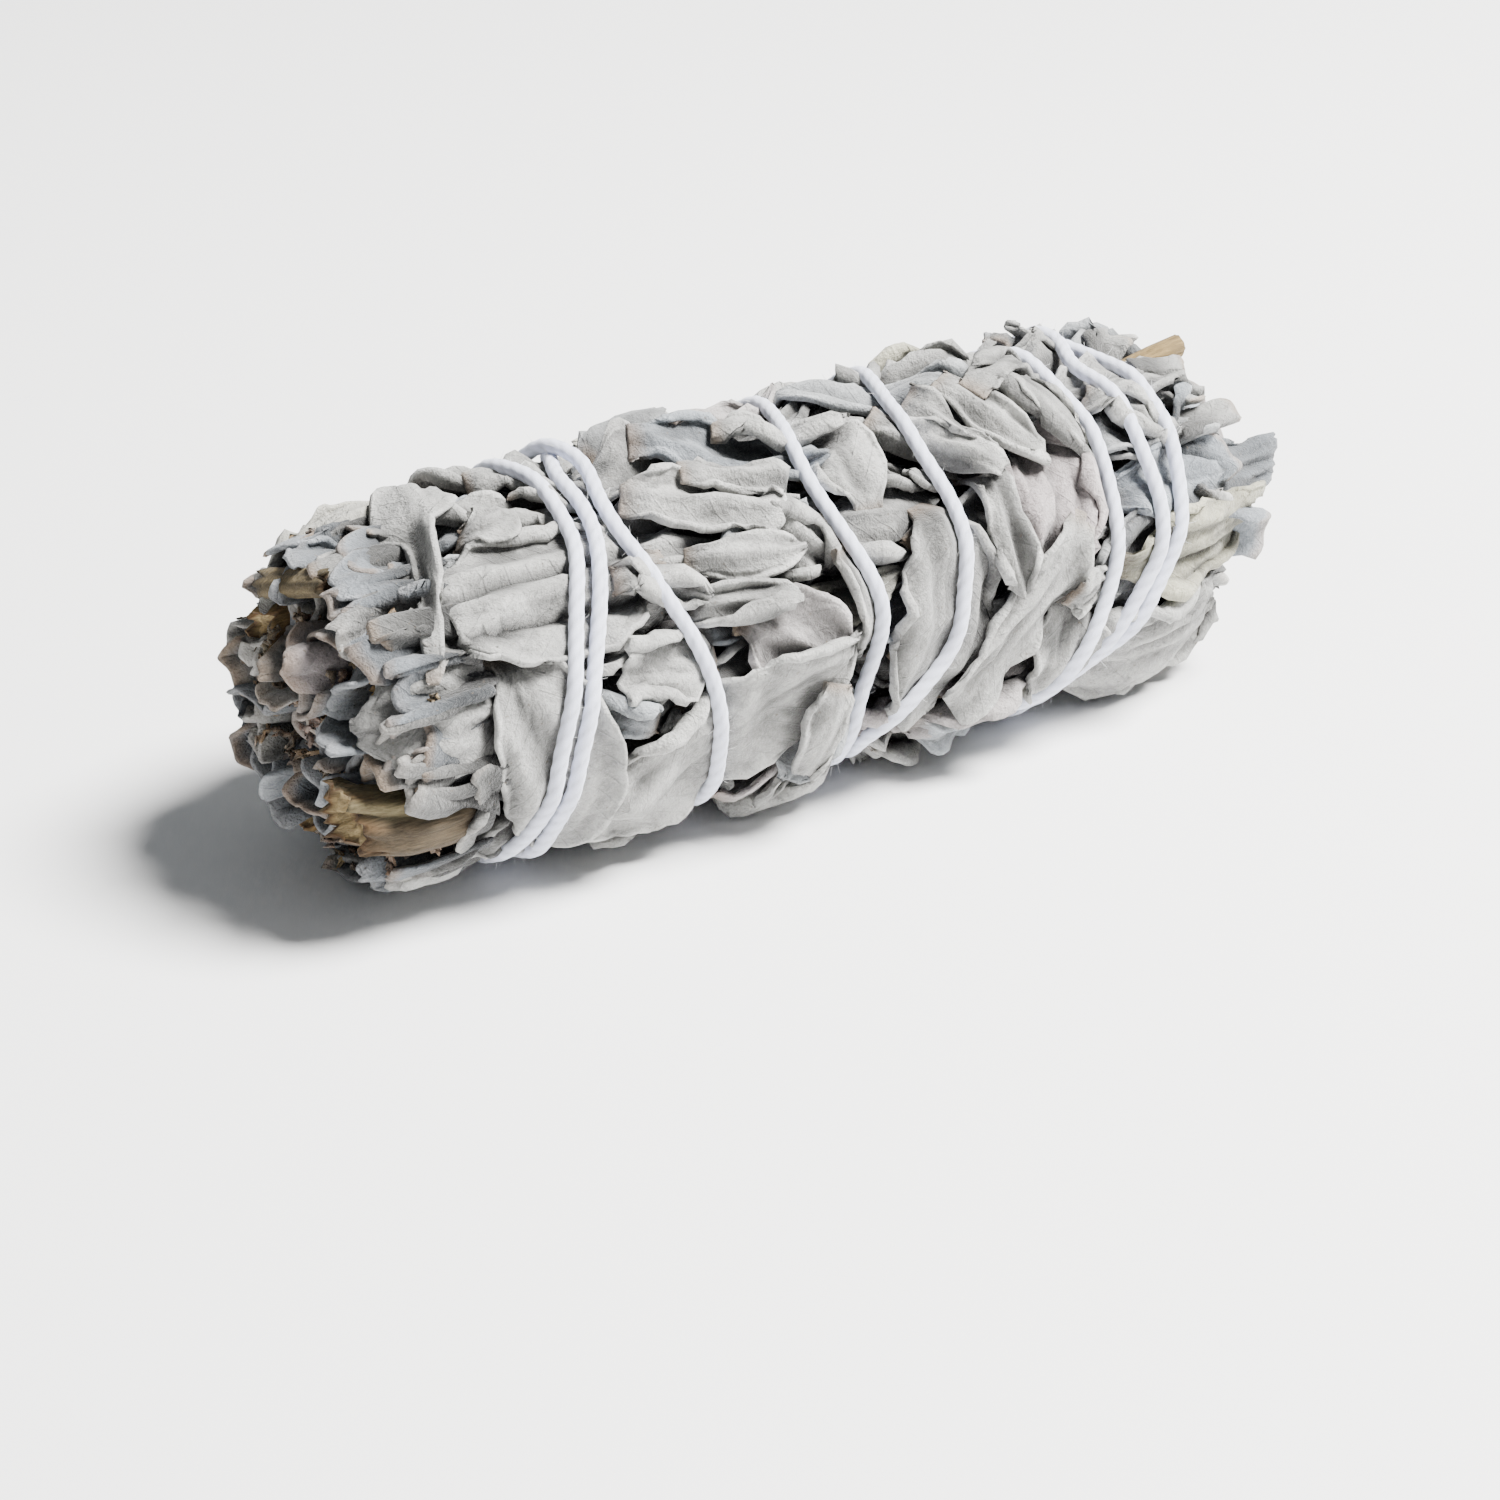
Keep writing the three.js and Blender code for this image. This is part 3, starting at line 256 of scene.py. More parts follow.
# Leaves seen one by one: root and tip as (x, angle), width, and how they differ from the rule. Folds are
# (distance from the midrib, height)
SEEN_LEAVES = [
    {"root": (-30, 60), "tip": (-4, 52), "width": 9},
    {"root": (-24, 86), "tip": (-3, 76), "width": 10, "curl": (0, 0.8)},
    {"root": (-16, 36), "tip": (-3, 46), "width": 9, "blunt": 0.3},
    {"root": (-13, 26), "tip": (-6, 6), "width": 9, "blunt": 0.7, "curl": (0.8, 0)},
    {"root": (3, 48), "tip": (2, 84), "width": 6.5, "blunt": 0.6},
    {"root": (29, 48), "tip": (38, 66), "width": 9, "blunt": 0.5},
    {"root": (26, -16), "tip": (35, 22), "width": 9, "blunt": 0.4},
    {"root": (18, -38), "tip": (44, -30), "width": 13, "blunt": 0.6, "tint": GREY},
    {"root": (28, 30), "tip": (54, 27), "width": 9, "blunt": 0.9, "ragged_tip": 0.2, "crumple": 0.4,
     "tint": BLUE},
    {"root": (27, 6), "tip": (50, 5), "width": 9, "blunt": 0.8, "curl": (0, 1), "tint": YELLOW},
    {"root": (25, 57), "tip": (47, 54), "width": 6.5, "blunt": 0.9},
    {"root": (27, 78), "tip": (48, 71), "width": 6},
    {"root": (8, 46), "tip": (3, -30), "width": 11, "blunt": 0.3, "bend": 2, "curl": (0.3, 0.9)},
    {"root": (20, 76), "tip": (18, 2), "width": 9.5, "bend": 2.5, "curl": (0.8, 0.3), "tint": PINK},
    {"root": (2, 112), "tip": (23, 60), "width": 7.5, "curl": (0, 0.8)},
    {"root": (28, 14), "tip": (9, -27), "width": 6, "blunt": 0.7, "curl": (0.6, 0.6), "tint": GREY},
    {"root": (26, 4), "tip": (20, -40), "width": 8, "tint": GREY},
    {"root": (16.5, 48), "tip": (14.7, 10), "width": 3, "blunt": 0.6, "curl": (0.8, 0.8), "tint": GREY},
    {"root": (-16, 108), "tip": (0, 66), "width": 6, "curl": (0, 0.7)},
    {"root": (-13, 58), "tip": (-3.5, 33), "width": 6, "curl": (0.8, 0)},
    {"root": (-3, 5), "tip": (-9.5, -37), "width": 8},
    {"root": (-35, -34), "tip": (-2.5, 12), "width": 11.5, "bend": -0.5, "curl": (0, 0.8), "crumple": 0.8},
    {"root": (-17, 13), "tip": (-27, 19), "width": 6, "blunt": 0.9, "curl": (1, 1)},
    {"root": (-40, 36), "tip": (-33.5, -48), "width": 11, "bend": 1.5, "crumple": 0.6, "roll": (0.8, 0.6),
     "tint": GREY},
    {"root": (-21, 48), "tip": (-41.5, 50), "width": 14, "blunt": 0.5, "curl": (1, 0), "tint": GREY,
     "folds": ((-2.4, 1.9), (2, 1.7))},
    {"root": (-43, 38), "tip": (-37, 112), "width": 9, "blunt": 0.4, "stalk": 0.6, "roll": (0.7, 0.5),
     "wave": 0.5, "keel": 0.4, "pleat": 0, "tint": GREY},
]

# Narrow folded leaves seen one by one on those, as root and tip (x, angle), and width
SEEN_STRIPS = [
    ((-21, 71), (-8, 50), 5),
    ((-15, 71), (-4, 63), 2.6),
    ((-2.7, 37), (-1.7, -3), 2.8),
    ((-18, 46), (-7, 40), 3.6),
    ((-20, 32), (-9.5, 28), 3.2),
    ((-26, 45), (-18, 33), 2.8),
    ((11.7, 80), (15.8, 49), 3.2),
    ((15.6, 80), (22, 47), 3.4),
    ((20.7, 82), (28, 43), 3.6),
    ((23, 79), (26.5, 48), 3),
    ((7.5, 78), (16, 45), 3),
    ((-6, -2), (-8.5, -31), 4),
    ((-29, 92), (-22, 74), 2.6),
    ((30.5, 66), (38, 44), 3.2),
    ((-8, 88), (4, 76), 3.4),
]

# Small torn leaves, rolled strips and narrow slivers: how many lie under and over the leaves that are seen
# one by one, their length and width, and whether they stay behind the cut end
SCRAPS_UNDER = {"under": 80, "over": 0, "length": (8, 18), "width": (4, 8)}
STRIPS = {"under": 49, "over": 24, "length": (9, 25), "width": (2.2, 4.2)}
SLIVERS = {"under": 27, "over": 9, "length": (11, 22), "width": (3.4, 6), "behind": True}
SCRAPS_OVER = {"under": 0, "over": 26, "length": (4, 9), "width": (2.5, 5), "behind": True}
SMALL_PLACES_TRIED = 11
MOST_DRAWS = 60
SMALL_ROOT_X = (-42, 40)
SMALL_TIP_X = 47
SMALL_SPREAD = 32           # degrees from the bundle's length
TURNED_BACK = 0.3           # share that points towards the cut end

# Where small leaves stay off a stem that shows, or behind the cut end
THICK_STEM_X = -36
THICK_STEM_ANGLES = (-42, 2)
FAR_STEM_X = 37
FAR_STEM_SIDE = 17          # degrees to each side of it
CUT_END_X = -37

# Leaf ends seen one by one on the cut end: sprig, place as (angle, distance from the axis), length of the rim
SEEN_ENDS = [
    {"sprig": 1, "at": (67, 15.4), "length": 9, "heading": 0.4, "bend": 5.4, "stand": 2.2},
    {"sprig": 1, "at": (85, 15.2), "length": 7.5, "heading": 2.4, "bend": 5.2, "stand": 1.6},
    {"sprig": 6, "at": (-2, 15.6), "length": 9.5, "heading": 1.2, "bend": 5.3, "stand": -0.2},
    {"sprig": 0, "at": (48, 14.4), "length": 8, "heading": 2.5, "folds": 1, "stand": 1.6, "lean": 3},
    {"sprig": 0, "at": (40, 10.6), "length": 7, "heading": 2.2, "bend": 1.4, "stand": 0.2, "lean": 3},
    {"sprig": 0, "at": (16, 14.8), "length": 8, "heading": 1.9, "folds": 1, "stand": 1.4, "lean": 3},
    {"sprig": 6, "at": (4, 12.4), "length": 8, "heading": 2.0, "folds": 1, "stand": 0.6, "lean": 3},
    {"sprig": 7, "at": (36, 6.4), "length": 6.5, "heading": 2.5, "bend": -1.6, "stand": 0.4, "lean": 2},
    {"sprig": 1, "at": (64, 11.4), "length": 6.5, "heading": 2.7, "bend": 1.8, "stand": 0.6, "lean": 2},
]

# Leaf ends packed round each stem, on a sprig
END_STEPS = 17              # points along a rim
END_ROWS = 10
END_THICKNESS = (0.6, 0.85)
NEAR_ENDS = 16
MIDDLE_ENDS = 12
FAR_ENDS = 8
END_REACH = 16.3            # farthest from the axis
STEM_CLEARANCE = 0.9
GOLDEN_ANGLE = 137.5        # from one leaf end to the next
NEAR_DOME = 8.2             # how high the leaf ends stand in the middle of the cut end
FAR_DOME = 5.5              # and of the far end

# Brown chips on a sprig
CHIPS = 18
CRUMBLED_CHIPS = 34
GATHERED_CHIPS = 11         # of them in one spot
CHIP_REACH = 16.4
CHIP_THICKNESS = 0.4

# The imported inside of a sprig: rings along it, and points outside, inside, or round the middle one
PACKED_RINGS = 110
OUTER_SIDES = 22
INNER_SIDES = 4
MIDDLE_SIDES = 24

# UV maps: from millimetres on a surface to places, and how densely side veins follow one another there
PLACE_SCALE = 0.01
VEIN_PACE = 130

# Light and floor, in metres and watts, and the camera, in millimetres, fitted to the bundle's outline in
# the photograph of 1500 x 1500 pixels
WORLD_STRENGTH = 0.26
WORLD_COLOUR = (0.9, 0.95, 1, 1)
KEY_PLACE = (0.34, -0.27, 0.73)
KEY_SIZE = 0.36
KEY_WATTS = 44
KEY_COLOUR = (1, 0.99, 0.97)
FILL_PLACE = (0.7, -0.6, 0.35)
FILL_SIZE = 0.7
FILL_WATTS = 1
FILL_COLOUR = (0.96, 0.98, 1)
LIT_PLACE = (0, 0, 0.01)
FLOOR_HALF = 4
PHOTO_SIDE = 1500
CAMERA_AZIMUTH = -33.3
CAMERA_ELEVATION = 25.8
CAMERA_DISTANCE = 364
CAMERA_LENS = 91.1
SENSOR_WIDTH = 36
TARGET_PIXEL = (780.6, 588.3)


class Dice:
    """Numbers drawn in a fixed order, the same on any machine."""

    def __init__(self, seed):
        self.seed = seed

    def draw(self, low, high):
        self.seed = self.seed * 16807 % 2147483647
        return low + (high - low) * (self.seed / 2147483647)

    def sign(self):
        return 1 if self.draw(0, 1) < 0.5 else -1


def mix(start, end, share):
    return start + (end - start) * share


def rounded(value):
    return np.floor(np.asarray(value) + 0.5).astype(int)


def smooth(low, high, value):
    t = np.clip((value - low) / (high - low), 0, 1)
    return t * t * (3 - 2 * t)


# Form of the bundle
def bundle_radius(x):
    far = x > THICKEST_X
    reach = np.where(far, FAR_END_X - THICKEST_X, NEAR_END_X - THICKEST_X)
    share = np.minimum(1.2, (x - THICKEST_X) / reach)
    return BUNDLE_RADIUS - np.where(far, FAR_TAPER, NEAR_TAPER) * share * share


def packed_radius(x, angle):
    waves = 0.35 * np.sin(x / 9 + 2 * np.cos(angle * DEGREE))
    lumps = 0.3 * np.cos(3 * angle * DEGREE + x / 17)
    return bundle_radius(x) - WRAP_DEPTH + waves + lumps


def turn_between(start, end):
    return (end - start + 540) % 360 - 180


def spot(x, angle, radius):
    x, angle, radius = np.broadcast_arrays(x, angle, radius)
    turn = angle * DEGREE
    return np.stack([x, -radius * np.cos(turn), radius * np.sin(turn)], -1)


def polar(points):
    angle = np.arctan2(points[..., 2], -points[..., 1]) / DEGREE
    return angle, np.hypot(points[..., 1], points[..., 2])


# The string's route, unrolled
def route_points():
    points = [KNOT]
    for turn, line in enumerate(STRING_PASSES):
        points += [(x, angle - 360 * turn) for x, angle in line]
    last = 360 * (len(STRING_PASSES) - 1)
    points += [(x, angle - last) for x, angle in ROUTE_END]
    return points + [(KNOT[0], KNOT[1] - 360 - last)]


def smooth_path(points, step):
    slopes = []
    for i in range(len(points)):
        before = points[max(0, i - 1)]
        after = points[min(len(points) - 1, i + 1)]
        slopes.append((after[0] - before[0]) / (after[1] - before[1]))
    path = []
    span = 0
    for i in range(int(rounded((points[0][1] - points[-1][1]) / step)) + 1):
        angle = points[0][1] - i * step
        while span < len(points) - 2 and angle < points[span + 1][1]:
            span += 1
        (x1, a1), (x2, a2) = points[span], points[span + 1]
        t = (angle - a1) / (a2 - a1)
        run = a2 - a1
        x = (2 * t**3 - 3 * t**2 + 1) * x1 + (t**3 - 2 * t**2 + t) * run * slopes[span]
        x += (3 * t**2 - 2 * t**3) * x2 + (t**3 - t**2) * run * slopes[span + 1]
        path.append((x, angle))
    return np.array(path)


ROUTE = smooth_path(route_points(), ROUTE_STEP)


def string_bite(angle):
    from_sole = np.abs(turn_between(SOLE_ANGLE, angle))
    return STRING_BITE + SOLE_BITE * np.sqrt(np.maximum(0, 1 - from_sole / SOLE_REACH))


def nearest_route(x, angle, path):
    """Distance in the unrolled plane from each place to the route, and the index of the nearest point."""
    best = np.full(x.shape, np.inf)
    index = np.zeros(x.shape, int)
    for k, (along, around) in enumerate(path):
        apart = (along - x) ** 2 + (turn_between(angle, around) * MM_PER_DEGREE) ** 2
        closer = apart < best
        best = np.where(closer, apart, best)
        index = np.where(closer, k, index)
    return np.sqrt(best), index


def pinch(x, angle):
    distance, _ = nearest_route(np.asarray(x, float), np.asarray(angle, float), ROUTE)
    return string_bite(angle) * np.exp(-((distance / BITE_REACH) ** 2))


# Sectors and stems
def sector_border(index, x):
    after = SPRIGS[(index + 1) % OUTER_SPRIGS]["angle"] + (360 if index + 1 == OUTER_SPRIGS else 0)
    return (SPRIGS[index]["angle"] + after) / 2 + BORDER_WAVE * np.sin(x / 14 + 2 * index)


def sector_of(x, angle):
    found = np.full(np.broadcast(x, angle).shape, -1)
    for index in range(OUTER_SPRIGS):
        high = sector_border(index, x)
        low = sector_border((index + OUTER_SPRIGS - 1) % OUTER_SPRIGS, x)
        span = (high - low) % 360
        turn = (angle - low) % 360
        inside = (turn > BORDER_MARGIN) & (turn < span - BORDER_MARGIN)
        found = np.where((found < 0) & inside, index, found)
    return found


def stem_point(sprig, x):
    share = (x - sprig["near"][0]) / (sprig["far"][0] - sprig["near"][0])
    near = spot(x, sprig["near"][2], sprig["near"][1])
    far = spot(x, sprig["far"][2], sprig["far"][1])
    return near + (far - near) * np.asarray(share)[..., None]


# The grid that the leaves are placed by
class Grid:
    def __init__(self, start, step, columns, turn, rows):
        self.start, self.step, self.columns, self.turn, self.rows = start, step, columns, turn, rows
        self.x = (start + step * np.arange(columns))[:, None] * np.ones(rows)
        self.angle = np.ones(columns)[:, None] * (turn * np.arange(rows))

    def cells(self, x, angle):
        column = np.clip(rounded((np.asarray(x) - self.start) / self.step), 0, self.columns - 1)
        return column, rounded(np.asarray(angle) / self.turn) % self.rows

    def highest(self, field, x, angle, reach):
        top = 0
        for dx in (-reach, 0, reach):
            for turn in (-reach, 0, reach):
                top = np.maximum(top, field[self.cells(x + dx, angle + turn / MM_PER_DEGREE)])
        return top

    def sample(self, field, x, angle):
        across = np.clip((x - self.start) / self.step, 0, self.columns - 1.001)
        around = (angle / self.turn) % self.rows
        column, row = np.floor(across).astype(int), np.floor(around).astype(int) % self.rows
        u, v = across - column, around - np.floor(around)
        after = (row + 1) % self.rows
        low = mix(field[column, row], field[column + 1, row], u)
        return mix(low, mix(field[column, after], field[column + 1, after], u), v)

    def add_stems(self, height, owner):
        for sprig in SPRIGS:
            reach = sprig["radius"] + GAP
            for column in range(self.columns):
                x = self.start + self.step * column
                if x < sprig["near"][0] or x > sprig["far"][0]:
                    continue
                middle, distance = polar(stem_point(sprig, x))
                turns = np.arange(-STEM_SPAN, STEM_SPAN + 0.01, self.turn)
                turns = turns[np.abs(distance * np.sin(turns * DEGREE)) <= reach]
                aside = distance * np.sin(turns * DEGREE)
                top = distance * np.cos(turns * DEGREE) + np.sqrt(reach**2 - aside**2)
                for turn, level in zip(turns, top):
                    cell = self.cells(x, middle + turn)
                    if level >= height[cell]:
                        height[cell] = level
                        owner[cell] = -1

    def blurred(self, field, reach, passes, low=None, high=None):
        low = 0 if low is None else low
        high = self.columns - 1 if high is None else high
        for _ in range(passes):
            columns = [np.clip(np.arange(self.columns) + k, low, high) for k in range(-reach, reach + 1)]
            field = sum(field[index] for index in columns) / (2 * reach + 1)
            field = sum(np.roll(field, k, axis=1) for k in range(-reach, reach + 1)) / (2 * reach + 1)
        return field


COARSE = Grid(GRID_START, 1, GRID_COLUMNS, DEGREES_PER_ROW, GRID_ROWS)
FINE = Grid(GRID_START, FINE_STEP, FINE_COLUMNS, FINE_TURN, FINE_ROWS)


# Plan of a leaf, unrolled
def leaf_run(leaf):
    """From a leaf's root to its tip."""
    return np.array([leaf["tip"][0] - leaf["root"][0], (leaf["tip"][1] - leaf["root"][1]) * MM_PER_DEGREE])


def tip_from(root, length, heading):
    return root[0] + length * math.cos(heading), root[1] + length * math.sin(heading) / MM_PER_DEGREE


def half_width(leaf, share):
    stalk = leaf.get("stalk", 0)
    grown = np.clip((share - stalk) / (0.4 * (1 - stalk)), 0, 1)
    closing = np.clip((share - 0.55) / 0.45, 0, 1)
    width = leaf["width"] / 2 * np.sin(grown * math.pi / 2) * (1 - (1 - leaf["blunt"]) * closing * closing)
    return np.maximum(width, np.where(grown < 0.6, PETIOLE_WIDTH / 2, 0.45))


def leaf_frame(leaf, share):
    """The midrib, and the direction across the leaf, at shares of its length, in unrolled millimetres."""
    run = leaf_run(leaf)
    length = np.hypot(*run)
    along = run / length
    aside = np.array([-along[1], along[0]])
    share = np.asarray(share)[:, None]
    midrib = along * (length * share) + aside * (leaf["bend"] * 4 * share * (1 - share))
    across = aside - along * (leaf["bend"] * 4 * (1 - 2 * share) / length)
    return midrib, across / np.hypot(across[:, :1], across[:, 1:])


def waved(leaf, side, share):
    return 1 + 0.1 * np.sin(leaf["phase"] + 2 * side + 11 * share)


def coarse_stations(leaf):
    if leaf["length"] > 32:
        return np.array([0, 0.07, 0.2, 0.4, 0.6, 0.8, 1])
    return np.array([0, 0.1, 0.3, 0.55, 0.8, 1] if leaf["length"] > 20 else [0, 0.14, 0.35, 0.65, 1])


def coarse_plan(leaf):
    share = coarse_stations(leaf)
    side = 2 * np.arange(leaf["columns"] + 1) / leaf["columns"] - 1
    midrib, across = leaf_frame(leaf, share)
    reach = side * half_width(leaf, share)[:, None] * waved(leaf, side, share[:, None])
    plan = midrib[:, None] + across[:, None] * reach[..., None]
    return leaf["root"][0] + plan[..., 0], leaf["root"][1] + plan[..., 1] / MM_PER_DEGREE, side


def patch_samples(points, first_row, steps):
    """Points inside each patch of a lattice, with the weights of its corners."""
    u, v = np.meshgrid(np.arange(steps + 1) / steps, np.arange(steps + 1) / steps, indexing="ij")
    weights = np.stack([(1 - u) * (1 - v), (1 - u) * v, u * (1 - v), u * v], -1).reshape(-1, 4)
    part = points[first_row:]
    corners = np.stack([part[:-1, :-1], part[:-1, 1:], part[1:, :-1], part[1:, 1:]], 2)
    return np.einsum("sk,ijkc->ijsc", weights, corners), weights


def hides_stem(leaf):
    x, angle, _ = coarse_plan(leaf)
    turn = turn_between(0, angle)
    on_thick = (x < THICK_STEM_BARE["x"]) & (turn > THICK_STEM_BARE["from"]) & (turn < THICK_STEM_BARE["to"])
    on_top = (x > TOP_STEM_BARE["x"]) & (turn > TOP_STEM_BARE["from"]) & (turn < TOP_STEM_BARE["to"])
    return (on_thick | on_top).any()


class Layout:
    """Lays the leaves one on another on the coarse grid, as the solids are laid."""

    def __init__(self):
        self.dice = Dice(20417)
        self.height = packed_radius(COARSE.x, COARSE.angle)
        inside = (COARSE.x > NEAR_END_X + 1) & (COARSE.x < FAR_END_X - 1)
        self.owner = np.where(inside, sector_of(COARSE.x, COARSE.angle), -1)
        COARSE.add_stems(self.height, self.owner)

    def resting_radii(self, leaf, x, angle, side):
        rows = np.arange(len(x))[:, None]
        rooted = self.height[COARSE.cells(x, angle)] - ROOT_DEPTH
        radii = np.where(rows < 2, rooted, COARSE.highest(self.height, x, angle, 0.8) + GAP)
        for _ in range(5):
            samples, weights = patch_samples(spot(x, angle, radii), 2, 5)
            around, radius = polar(samples)
            short = self.height[COARSE.cells(samples[..., 0], around)] + GAP - radius
            step = np.maximum(0, short)[..., None] * weights / (weights**2).sum(1)[:, None]
            step = step.max(2)
            raised = np.zeros_like(radii)
            for k, (row, column) in enumerate([(0, 0), (0, 1), (1, 0), (1, 1)]):
                part = raised[2 + row:len(radii) - 1 + row, column:radii.shape[1] - 1 + column]
                np.maximum(part, step[..., k], out=part)
            radii = radii + raised
        free = np.maximum(0, 1 - pinch(x, angle) / string_bite(angle))
        curl = np.where(side < 0, leaf["curl"][0], leaf["curl"][1]) * np.abs(side) ** 3
        return np.where(rows < 2, radii, radii + curl * free)

    def can_root(self, leaf):
        run = leaf_run(leaf)
        run = run / np.hypot(*run)
        forward = np.repeat([0, 1.5, 3], 3)
        aside = np.tile([-1.4, 0, 1.4], 3)
        x = leaf["root"][0] + run[0] * forward - run[1] * aside
        angle = leaf["root"][1] + (run[1] * forward + run[0] * aside) / MM_PER_DEGREE
        cells = COARSE.cells(x, angle)
        tops, owners = self.height[cells], self.owner[cells]
        return owners[0] >= 0 and (owners == owners[0]).all() and tops.max() - tops.min() < ROOT_STEP

    def ready(self, wanted):
        """The leaf with its root moved to the nearest place where it can grow, or None."""
        leaf = {"curl": (0.25, 0.25), "bend": 0, "blunt": 0, "phase": 0, **wanted}
        leaf["length"] = math.hypot(*leaf_run(leaf))
        leaf["columns"] = 3 if leaf["width"] >= 13 else 2
        x, angle = leaf["root"]
        for reach in range(ROOT_SEARCH):
            for turn in range(8):
                dx, dy = reach * math.cos(turn * math.pi / 4), reach * math.sin(turn * math.pi / 4)
                leaf["root"] = (x + dx, angle + dy / MM_PER_DEGREE)
                if self.can_root(leaf):
                    return leaf
        return None

    def lay(self, leaf):
        x, angle, side = coarse_plan(leaf)
        leaf["sprig"] = int(self.owner[COARSE.cells(*leaf["root"])])
        radii = self.resting_radii(leaf, x, angle, side)
        samples, _ = patch_samples(spot(x, angle, radii + LEAF_THICKNESS), 0, 12)
        around, radius = polar(samples)
        cells = COARSE.cells(samples[..., 0], around)
        on_top = radius >= self.height[cells]
        self.owner[cells[0][on_top], cells[1][on_top]] = leaf["sprig"]
        np.maximum.at(self.height, cells, radius)
        return leaf

    def fullness(self, leaf):
        """How far the leaves under a leaf stand beyond the bundle's radius. Seen leaves count as laid."""
        x, angle, _ = coarse_plan(leaf)
        x, angle = x[1:].ravel(), angle[1:].ravel()
        inside = (x > NEAR_END_X) & (x < FAR_END_X)
        x, angle = x[inside], angle[inside]
        kept = np.where(np.cos((angle - FRONT_ANGLE) * DEGREE) > 0.3, SEEN_DEPTH, 0)
        full = COARSE.highest(self.height, x, angle, 1.5) + kept - bundle_radius(x)
        return full.mean() + 0.4 * full.max()

    def drawn(self, course):
        draw = self.dice.draw
        angle = draw(*course["angles"])
        heading = (course["heading"] + draw(-course["spread"], course["spread"])) * DEGREE
        length = draw(*course["length"])
        root = (draw(*course["root"]), angle)
        tip = tip_from(root, length, heading)
        leaf = {"root": root, "tip": tip, "width": draw(*course["width"]), "bend": draw(-2.5, 2.5)}
        leaf["blunt"] = draw(0, 0.5)
        leaf["curl"] = (draw(0, 0.7), draw(0, 0.7))
        return {**leaf, "phase": draw(0, 6.28)}

    def lay_course(self, course):
        laid = []
        for _ in range(course["count"]):
            thinnest, least = None, math.inf
            for _ in range(PLACES_TRIED):
                leaf = self.ready(self.drawn(course))
                if leaf is None or hides_stem(leaf):
                    continue
                full = self.fullness(leaf)
                if full < least:
                    thinnest, least = leaf, full
            if thinnest:
                laid.append(self.lay(self.ready(thinnest)))
        return laid


def waves(x, y, dice, count, length):
    """Smooth irregular waves over a plane, from -1 to 1 or so, with crests about one length apart."""
    total = 0
    for _ in range(count):
        turn = dice.draw(0, 2 * math.pi)
        pace = 2 * math.pi / (length * dice.draw(0.6, 1.6))
        total = total + np.sin((x * math.cos(turn) + y * math.sin(turn)) * pace + dice.draw(0, 6.28))
    return total / math.sqrt(count)


# Fine shape of the leaves
def roll_radius(leaf, reach):
    return np.minimum(leaf["roll_radius"], 0.55 * reach)


def leaf_lattice(leaf, dice):
    """Unrolled places over a leaf and how far each is lifted by the leaf's own folds and rolled rims."""
    share = np.linspace(0, 1, max(FEWEST_ROWS, int(leaf["length"] / ROW_STEP)))
    flat_columns = FLAT_COLUMNS[(leaf["width"] > NARROW_LEAF) + (leaf["width"] > WIDE_LEAF)]
    roll_columns = ROLL_COLUMNS[max(leaf["roll"]) > MUCH_ROLLED]
    noise = waves(share * leaf["length"], 0, dice, 3, 9)
    noise_right = waves(share * leaf["length"], 0, dice, 3, 9)
    reach = half_width(leaf, share) * (1 + 0.06 * waves(share * leaf["length"], 0, dice, 3, 4))
    stalk = leaf.get("stalk", 0)
    reach = reach * (0.42 + 0.58 * smooth(stalk - 0.12, stalk + 0.1, share) if stalk else 1)
    midrib, across = leaf_frame(leaf, share)
    side_parts, lift_parts = [], []
    for sign, turn, wobble in ((-1, leaf["roll"][0], noise), (1, leaf["roll"][1], noise_right)):
        angle = np.clip(turn * (1 + 0.45 * wobble) * smooth(0.02, 0.25, share), 0.02, MOST_ROLLED)
        radius = roll_radius(leaf, reach)
        flat = reach - radius * np.sin(np.minimum(angle, math.pi / 2))
        ragged = leaf["ragged"] * waves(share * leaf["length"], 3, dice, 4, 1.8)
        step = np.linspace(0, 1, roll_columns + 1)[1:]
        bend = angle[:, None] * step
        out = flat[:, None] + radius[:, None] * np.sin(bend) + ragged[:, None] * step
        side_parts.append((sign * flat, sign * out))
        lift_parts.append(radius[:, None] * (1 - np.cos(bend)))
    middle = np.linspace(0, 1, flat_columns)
    middle = mix(side_parts[0][0][:, None], side_parts[1][0][:, None], middle)
    side = np.concatenate([side_parts[0][1][:, ::-1], middle, side_parts[1][1]], 1)
    rolled = np.concatenate([lift_parts[0][:, ::-1], np.zeros_like(middle), lift_parts[1]], 1)
    part = side / np.maximum(reach, 0.5)[:, None]
    plan = midrib[:, None] + across[:, None] * side[..., None]
    tip = np.zeros_like(part) + share[:, None]
    ragged_tip = leaf["ragged_tip"] * waves(side, 5, dice, 4, 2.2) * smooth(0.93, 1, share)[:, None]
    run = leaf_run(leaf)
    plan = plan + (run / np.hypot(*run)) * ragged_tip[..., None]
    lift = rolled + leaf_relief(leaf, share, part, side, dice)
    return {
        "x": leaf["root"][0] + plan[..., 0],
        "angle": leaf["root"][1] + plan[..., 1] / MM_PER_DEGREE,
        "lift": lift, "share": tip, "part": part, "side": side,
    }


